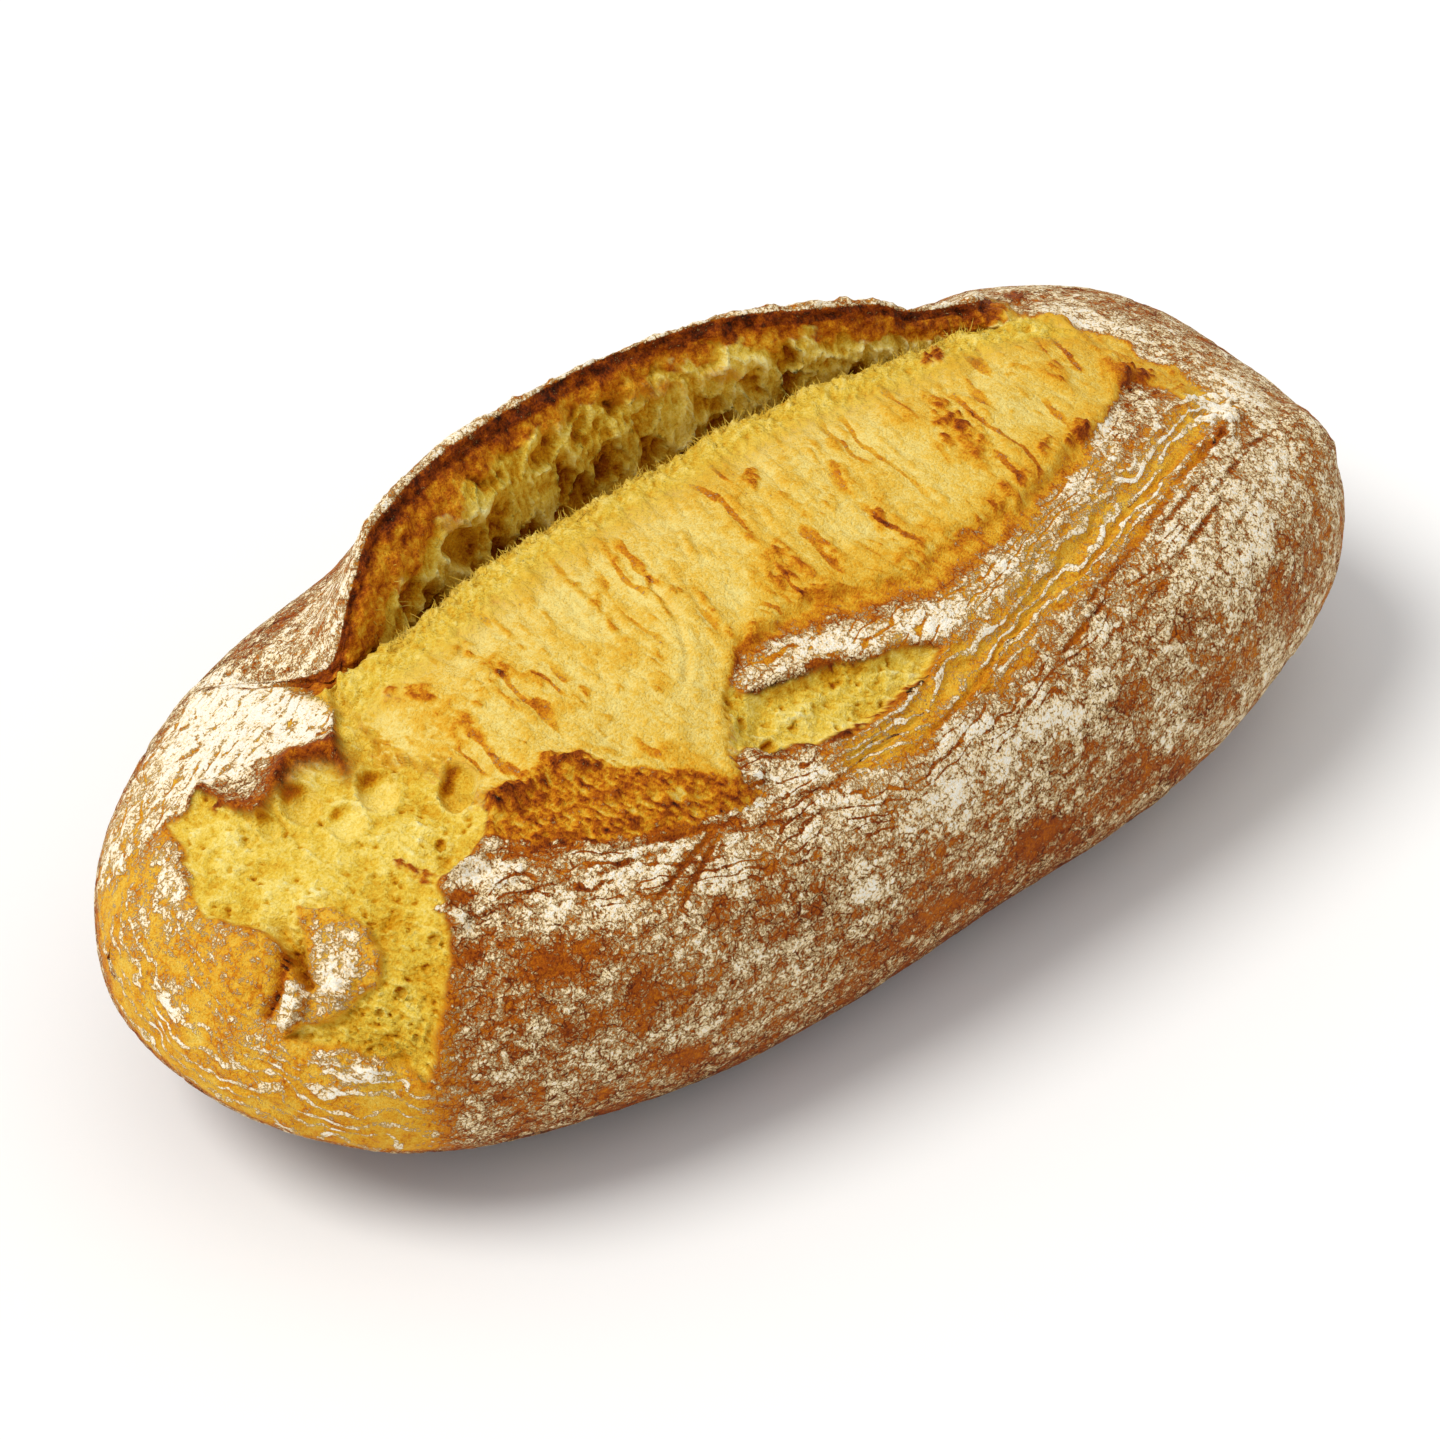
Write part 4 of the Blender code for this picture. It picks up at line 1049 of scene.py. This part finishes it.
def loaf_skin():
    """Grids of the fine skin: points, normals and look of each, rows by stations."""
    x = stations(STATIONS)
    control = section(x)
    rows = row_places(control)
    yz = spline_ring(control, rows)
    yz[..., 1] = np.maximum(yz[..., 1], 0)
    grid = np.concatenate([np.broadcast_to(x[None, :, None], yz.shape[:2] + (1,)), yz], axis=2)
    normals = grid_normals(grid)
    run = np.cumsum(np.linalg.norm(np.diff(grid, axis=0, prepend=grid[:1]), axis=2), axis=0)
    rim_row = np.searchsorted(rows, RIM_ROW)
    wall_run = run - run[rim_row]
    row_grid = np.broadcast_to(rows[:, None], grid.shape[:2])
    points = grid.reshape(-1, 3)
    flat_normals = normals.reshape(-1, 3)
    relief, looks = surface_looks(Skin(points, flat_normals, row_grid.reshape(-1), wall_run.reshape(-1)))
    relief = (relief + lumps(points)) * smooth_step(points[:, 2], 0, BASE_FADE)
    beside_pole = np.hypot(points[:, 1], points[:, 2] - WAIST) + LENGTH / 2 - np.abs(points[:, 0])
    relief *= smooth_step(beside_pole, 0, POLE_FADE)
    moved = points + flat_normals * relief[:, None]
    moved[:, 2] = np.maximum(moved[:, 2], 0)
    grid = moved.reshape(grid.shape)
    for seam in SEAM_ROWS:
        row = np.searchsorted(rows, seam)
        grid[row, 1:-1:2] = (grid[row, 0:-2:2] + grid[row, 2::2]) / 2
    looks = [look.reshape(grid.shape[:2]) for look in looks]
    return rows, grid, grid_normals(grid), looks


# Pieces of the skin: name, first and last row place, which half of the length (0 left, 1 right),
# and how many stations each face spans.
PIECES = [
    ("base", 33, 36, None, 2),
    ("back_left", 2, 10, 0, 2),
    ("back_right", 2, 10, 1, 2),
    ("ear_left", 10, 17, 0, 1),
    ("ear_right", 10, 17, 1, 1),
    ("crown_left", 17, 22, 0, 1),
    ("crown_right", 17, 22, 1, 1),
    ("side_left", 22, 26, 0, 1),
    ("side_right", 22, 26, 1, 1),
    ("foot_left", 26, 33, 0, 1),
    ("foot_right", 26, 33, 1, 1),
]
# Fibres: first and last row, first and last place along the loaf, count and longest length.
FIBRE_PLACES = [
    (17.3, 18.4, -78, 86, 900, 2.4), (15.2, 17.2, -78, 80, 220, 3.0), (13.4, 15.0, -76, -64, 12, 4.0),
]
FIBRE_RINGS = [(0.0, 0.14), (0.35, 0.12), (0.7, 0.09), (1.0, 0.03)]
FIBRE_LEAN = (0.1, 0.15, 0.2)
FIBRE_SEED = 11
FIBRE_LOOK = (0.3, 0.0, 1.0, 0.72, 0.0, 0.0)
SEAM_ROWS = (10, 33)
HIDDEN_FOLDS = (0.35, 1.0, 1.0)
LOOK_NAMES = ("bake", "flour", "crumb", "tone", "ridged", "waves")


def add_piece(name, points, normals, looks, faces, material):
    """One mesh piece with its look as attributes and the skin's own normals, from lists of faces."""
    corners = np.concatenate([group.ravel() for group in faces])
    used, corners = np.unique(corners, return_inverse=True)
    sizes = np.concatenate([np.full(len(group), group.shape[1]) for group in faces])
    mesh = bpy.data.meshes.new(name)
    mesh.vertices.add(len(used))
    mesh.vertices.foreach_set("co", points[used].astype(np.float32).ravel())
    mesh.loops.add(len(corners))
    mesh.loops.foreach_set("vertex_index", corners.astype(np.int32).ravel())
    mesh.polygons.add(len(sizes))
    mesh.polygons.foreach_set("loop_start", (np.cumsum(sizes) - sizes).astype(np.int32))
    mesh.update(calc_edges=True)
    for look_name, look in zip(LOOK_NAMES, looks):
        attribute = mesh.attributes.new(look_name, "FLOAT", "POINT")
        attribute.data.foreach_set("value", look[used].astype(np.float32))
    mesh.shade_smooth()
    if normals is not None:
        mesh.normals_split_custom_set_from_vertices(normals[used].astype(np.float32))
    mesh.materials.append(material)
    piece = bpy.data.objects.new(name, mesh)
    bpy.context.scene.collection.objects.link(piece)
    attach(piece, "root")
    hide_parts("loaf")


def make_loaf(crust, crumb):
    rows, grid, normals, looks = loaf_skin()
    count = grid.shape[1]
    lowest = grid.reshape(-1, 3).min(axis=0)
    highest = grid.reshape(-1, 3).max(axis=0)
    box_low, box_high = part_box("loaf")
    shift = (np.array(box_low) + np.array(box_high)) / 2 / METRES - (lowest + highest) / 2
    shift[2] = 0
    poles = [grid[:, 0].mean(axis=0), grid[:, -1].mean(axis=0)]
    points = (np.concatenate([grid.reshape(-1, 3), poles]) + shift) * METRES
    flat_normals = np.concatenate([normals.reshape(-1, 3), [[-1, 0, 0], [1, 0, 0]]])
    flat_looks = [np.concatenate([look.ravel(), [look[:, 0].mean(), look[:, -1].mean()]]) for look in looks]
    left_pole = grid.shape[0] * count
    half = count // 4 * 2
    for name, row_from, row_to, is_right, stride in PIECES:
        first = np.searchsorted(rows, row_from)
        last = np.searchsorted(rows, row_to % CONTROLS) + len(rows) * (row_to // CONTROLS)
        ids = np.arange(first, last + 1) % len(rows)
        from_station = half if is_right == 1 else 0
        to_station = half if is_right == 0 else count - 1
        at = np.arange(from_station, to_station + 1, stride)
        lower = ids[:-1, None] * count
        upper = ids[1:, None] * count
        quads = np.stack([lower + at[:-1], upper + at[:-1], upper + at[1:], lower + at[1:]], axis=-1)
        quads = quads.reshape(-1, 4)
        caps = np.zeros((0, 3), dtype=int)
        if from_station == 0:
            tips = np.full(len(lower), left_pole)
            caps = np.concatenate([caps, np.stack([tips, upper[:, 0], lower[:, 0]], axis=-1)])
        if to_station == count - 1:
            tips = np.full(len(lower), left_pole + 1)
            ends = [tips, lower[:, 0] + count - 1, upper[:, 0] + count - 1]
            caps = np.concatenate([caps, np.stack(ends, axis=-1)])
        is_crumb = flat_looks[2][quads].mean(axis=1) > 0.5
        add_piece(name, points, flat_normals, flat_looks, [quads[~is_crumb], caps], crust)
        if is_crumb.any():
            add_piece(name + "_crumb", points, flat_normals, flat_looks, [quads[is_crumb]], crumb)
    add_fibres(rows, grid + shift, normals, crumb)


def add_fibres(rows, grid, normals, material):
    """Short torn fibres of crumb: a bristle along the crown's back edge and strands in the left tear."""
    rng = np.random.default_rng(FIBRE_SEED)
    x = grid[0, :, 0]
    points = []
    triangles = []
    for row_from, row_to, x_from, x_to, count, longest in FIBRE_PLACES:
        row = rng.integers(np.searchsorted(rows, row_from), np.searchsorted(rows, row_to), count)
        station = rng.integers(np.searchsorted(x, x_from), np.searchsorted(x, x_to), count)
        root = grid[row, station]
        lean = rng.normal(size=(count, 3)) * 0.6 + FIBRE_LEAN
        out = normals[row, station] + lean
        out /= np.linalg.norm(out, axis=1, keepdims=True)
        length = rng.uniform(0.4, 1.0, (count, 1)) * longest
        droop = rng.normal(size=(count, 3)) * 0.25 * length
        side = np.cross(out, rng.normal(size=(count, 3)))
        side /= np.linalg.norm(side, axis=1, keepdims=True)
        up = np.cross(out, side)
        first = sum(len(group) for group in points)
        for share, thickness in FIBRE_RINGS:
            middle = root - 0.4 * out + out * length * share + droop * share ** 2
            for k in range(3):
                turn = 2 * math.pi * k / 3
                points.append(middle + thickness * (side * math.cos(turn) + up * math.sin(turn)))
        for ring in range(len(FIBRE_RINGS) - 1):
            for k in range(3):
                a = first + (3 * ring + k) * count + np.arange(count)
                b = first + (3 * ring + (k + 1) % 3) * count + np.arange(count)
                triangles.append(np.stack([a, b, b + 3 * count], axis=-1))
                triangles.append(np.stack([a, b + 3 * count, a + 3 * count], axis=-1))
    points = np.concatenate(points) * METRES
    looks = [np.full(len(points), value) for value in FIBRE_LOOK]
    add_piece("fibres_crumb", points, None, looks, [np.concatenate(triangles)], material)


class Shades:
    """Builds one material's nodes."""

    def __init__(self, name):
        self.material = bpy.data.materials.new(name)
        self.material.use_nodes = True
        self.tree = self.material.node_tree
        self.shader = self.tree.nodes["Principled BSDF"]
        self.place = self.node("ShaderNodeTexCoord").outputs["Object"]

    def node(self, kind, inputs=(), **settings):
        made = self.tree.nodes.new(kind)
        for key, value in settings.items():
            setattr(made, key, value)
        for key, value in dict(inputs).items():
            if isinstance(value, bpy.types.NodeSocket):
                self.tree.links.new(value, made.inputs[key])
            else:
                made.inputs[key].default_value = value
        return made

    def attribute(self, name):
        return self.node("ShaderNodeAttribute", attribute_name=name).outputs["Fac"]

    def math(self, operation, a, b=0.0):
        return self.node("ShaderNodeMath", {0: a, 1: b}, operation=operation).outputs[0]

    def add(self, a, b):
        return self.math("ADD", a, b)

    def times(self, a, b):
        return self.math("MULTIPLY", a, b)

    def total(self, *terms):
        """Sum of values, each given alone or with its factor."""
        values = [self.times(*term) if isinstance(term, tuple) else term for term in terms]
        return functools.reduce(self.add, values)

    def noise(self, scale, detail):
        """Noise centred on 0, with features of 1 / scale metres."""
        inputs = {"Vector": self.place, "Scale": scale, "Detail": detail, "Roughness": 0.7}
        return self.math("SUBTRACT", self.node("ShaderNodeTexNoise", inputs).outputs["Fac"], 0.5)

    def bent(self, vector, scale, reach):
        """A vector shifted by a noise of its own place."""
        inputs = {"Vector": vector, "Scale": scale, "Detail": 1.0}
        colour = self.node("ShaderNodeTexNoise", inputs).outputs["Color"]
        centred = self.vector_math("SUBTRACT", {0: colour, 1: (0.5, 0.5, 0.5)})
        scaled = self.vector_math("SCALE", {0: centred, "Scale": reach})
        return self.vector_math("ADD", {0: vector, 1: scaled})

    def vector_math(self, operation, inputs):
        return self.node("ShaderNodeVectorMath", inputs, operation=operation).outputs[0]

    def cracks(self, scale, width, vector):
        """1 on the lines between cells, 0 inside them."""
        inputs = {"Vector": vector, "Scale": scale}
        distance = self.node("ShaderNodeTexVoronoi", inputs, feature="DISTANCE_TO_EDGE").outputs["Distance"]
        return self.remap(distance, 0.0, width, 1.0, 0.0)

    def remap(self, value, low, high, to_low=0.0, to_high=1.0):
        inputs = {"Value": value, "From Min": low, "From Max": high, "To Min": to_low, "To Max": to_high}
        return self.node("ShaderNodeMapRange", inputs, interpolation_type="SMOOTHSTEP").outputs["Result"]

    def ramp(self, value, stops):
        made = self.node("ShaderNodeValToRGB", {"Fac": value})
        elements = made.color_ramp.elements
        elements[0].position, elements[0].color = stops[0][0], linear(stops[0][1])
        elements[1].position, elements[1].color = stops[-1][0], linear(stops[-1][1])
        for position, colour in stops[1:-1]:
            elements.new(position).color = linear(colour)
        return made.outputs["Color"]

    def blend(self, a, b, share):
        made = self.node("ShaderNodeMix", data_type="RGBA")
        for socket, value in zip((made.inputs[6], made.inputs[7], made.inputs[0]), (a, b, share)):
            if isinstance(value, bpy.types.NodeSocket):
                self.tree.links.new(value, socket)
            else:
                socket.default_value = value
        return made.outputs[2]


def linear(colour):
    """Scene colour of a screen colour given from 0 to 255, by the sRGB curve."""
    shares = [c / 255 for c in colour]
    return tuple(c / 12.92 if c < 0.0404 else ((c + 0.055) / 1.055) ** 2.4 for c in shares) + (1,)


CRUST_COLOURS = [
    (0.0, (242, 219, 130)), (0.2, (233, 191, 74)), (0.36, (226, 166, 36)), (0.5, (208, 128, 12)),
    (0.64, (174, 88, 4)), (0.78, (132, 54, 2)), (0.9, (84, 31, 3)), (1.0, (40, 15, 4)),
]
CRUMB_COLOURS = [
    (0.0, (98, 40, 2)), (0.25, (158, 80, 2)), (0.5, (208, 147, 14)), (0.7, (230, 194, 66)),
    (0.88, (246, 221, 118)), (1.0, (250, 235, 160)),
]
THIN_FLOUR_COLOUR = (216, 166, 92)
FLOUR_COLOUR = (255, 226, 172)
WHITE_FLOUR_COLOUR = (255, 248, 230)
# Grain of the material: features in each metre.
FINE_GRAIN = 1800
MIDDLING_GRAIN = 430
CRACK_BEND = 420
CRACK_CELLS = 270
CRAZING_CELLS = 720
SHINE = 0.12


def loaf_material(name, roughness):
    """Crust, flour and crumb, mixed by the skin's attributes, with cracks and speckle."""
    shades = Shades(name)
    fine = shades.noise(FINE_GRAIN, 2.0)
    middling = shades.noise(MIDDLING_GRAIN, 3.0)
    warped = shades.bent(shades.place, CRACK_BEND, 3 * METRES)
    cracks = shades.cracks(CRACK_CELLS, 0.07, warped)
    crazing = shades.cracks(CRAZING_CELLS, 0.13, warped)
    flour = shades.attribute("flour")
    ridged = shades.attribute("ridged")
    wave = shades.math("COSINE", shades.times(shades.attribute("waves"), 2 * math.pi))
    wave = shades.total(wave, (middling, 1.2))
    crests = shades.times(shades.remap(wave, 0.35, 0.8), shades.math("MAXIMUM", ridged, 0.0))
    troughs = shades.times(shades.remap(wave, -0.95, -0.6, 1.0, 0.0), shades.math("MINIMUM", ridged, 0.0))
    amount = shades.total(flour, crests, troughs, (middling, 1.8), (fine, 1.7), (cracks, -0.26),
                          (crazing, -0.26))
    thin = shades.remap(amount, 0.38, 0.62, 0.0, 0.65)
    thick = shades.remap(amount, 0.5, 0.92)
    white = shades.remap(amount, 0.9, 1.3)
    bare_crests = shades.times(crests, shades.remap(flour, 0.0, 0.12, 1.1, 0.0))
    cracked = shades.total((cracks, 0.10), (crazing, 0.06))
    bake = shades.total(shades.attribute("bake"), (fine, 0.55), (middling, 0.35), bare_crests,
                        (troughs, -0.04), (cracked, shades.remap(flour, 0.15, 0.45)))
    tone = shades.total(shades.attribute("tone"), (fine, 0.5), (middling, 0.4))
    colour = shades.blend(shades.ramp(bake, CRUST_COLOURS), linear(THIN_FLOUR_COLOUR), thin)
    colour = shades.blend(colour, linear(FLOUR_COLOUR), thick)
    colour = shades.blend(colour, linear(WHITE_FLOUR_COLOUR), white)
    colour = shades.blend(colour, shades.ramp(tone, CRUMB_COLOURS), shades.attribute("crumb"))
    shades.tree.links.new(colour, shades.shader.inputs["Base Color"])
    shades.shader.inputs["Roughness"].default_value = roughness
    shades.shader.inputs["Specular IOR Level"].default_value = SHINE
    height = shades.total((thick, 0.4), (fine, 0.55), (middling, 0.4))
    bump = shades.node("ShaderNodeBump", {"Height": height, "Distance": METRES, "Strength": 1.0})
    shades.tree.links.new(bump.outputs["Normal"], shades.shader.inputs["Normal"])
    return shades.material


# Floor, light and camera: sizes in metres.
FLOOR_SIZE = 6
FLOOR_DROP = 0.0004
FLOOR_COLOUR = (0.93, 0.93, 0.93, 1)
SKY_STRENGTH = 0.62
SUN_STRENGTH = 2.0
SUN_SPREAD = math.radians(30)
SUN_COLOUR = (1.0, 0.98, 0.94)
SUN_FROM = (-0.5, 0.28, 0.88)
SENSOR_WIDTH = 36
FARTHEST = 20


def make_floor():
    bpy.ops.mesh.primitive_plane_add(size=FLOOR_SIZE, location=(0, 0, -FLOOR_DROP))
    floor = bpy.context.object
    floor.name = "floor"
    shades = Shades("pale_floor")
    shades.shader.inputs["Base Color"].default_value = FLOOR_COLOUR
    shades.shader.inputs["Roughness"].default_value = 0.9
    shades.shader.inputs["Specular IOR Level"].default_value = 0.0
    floor.data.materials.append(shades.material)


def make_lights():
    world = bpy.data.worlds.new("soft_studio")
    world.use_nodes = True
    background = world.node_tree.nodes["Background"]
    background.inputs["Color"].default_value = (1, 1, 1, 1)
    background.inputs["Strength"].default_value = SKY_STRENGTH
    bpy.context.scene.world = world
    key = bpy.data.lights.new("key", "SUN")
    key.energy = SUN_STRENGTH
    key.angle = SUN_SPREAD
    key.color = SUN_COLOUR
    lamp = bpy.data.objects.new("key", key)
    lamp.rotation_euler = Vector(SUN_FROM).to_track_quat("Z", "Y").to_euler()
    bpy.context.scene.collection.objects.link(lamp)


def make_camera():
    data = bpy.data.cameras.new("camera")
    data.sensor_width = SENSOR_WIDTH
    data.lens = SENSOR_WIDTH * PHOTO_PX_PER_MM * SKETCH_DISTANCE / PHOTO_SIZE
    data.clip_end = FARTHEST
    camera = bpy.data.objects.new("camera", data)
    camera.location = (SKETCH_CENTRE + toward_viewer() * SKETCH_DISTANCE) * METRES
    camera.rotation_euler = (math.pi / 2 - SKETCH_TILT, 0, SKETCH_TURN)
    bpy.context.scene.collection.objects.link(camera)
    bpy.context.scene.camera = camera


make_loaf(loaf_material("floured_crust", 0.75), loaf_material("torn_crumb", 0.9))
make_floor()
make_lights()
make_camera()
bpy.context.scene.view_settings.view_transform = "Standard"
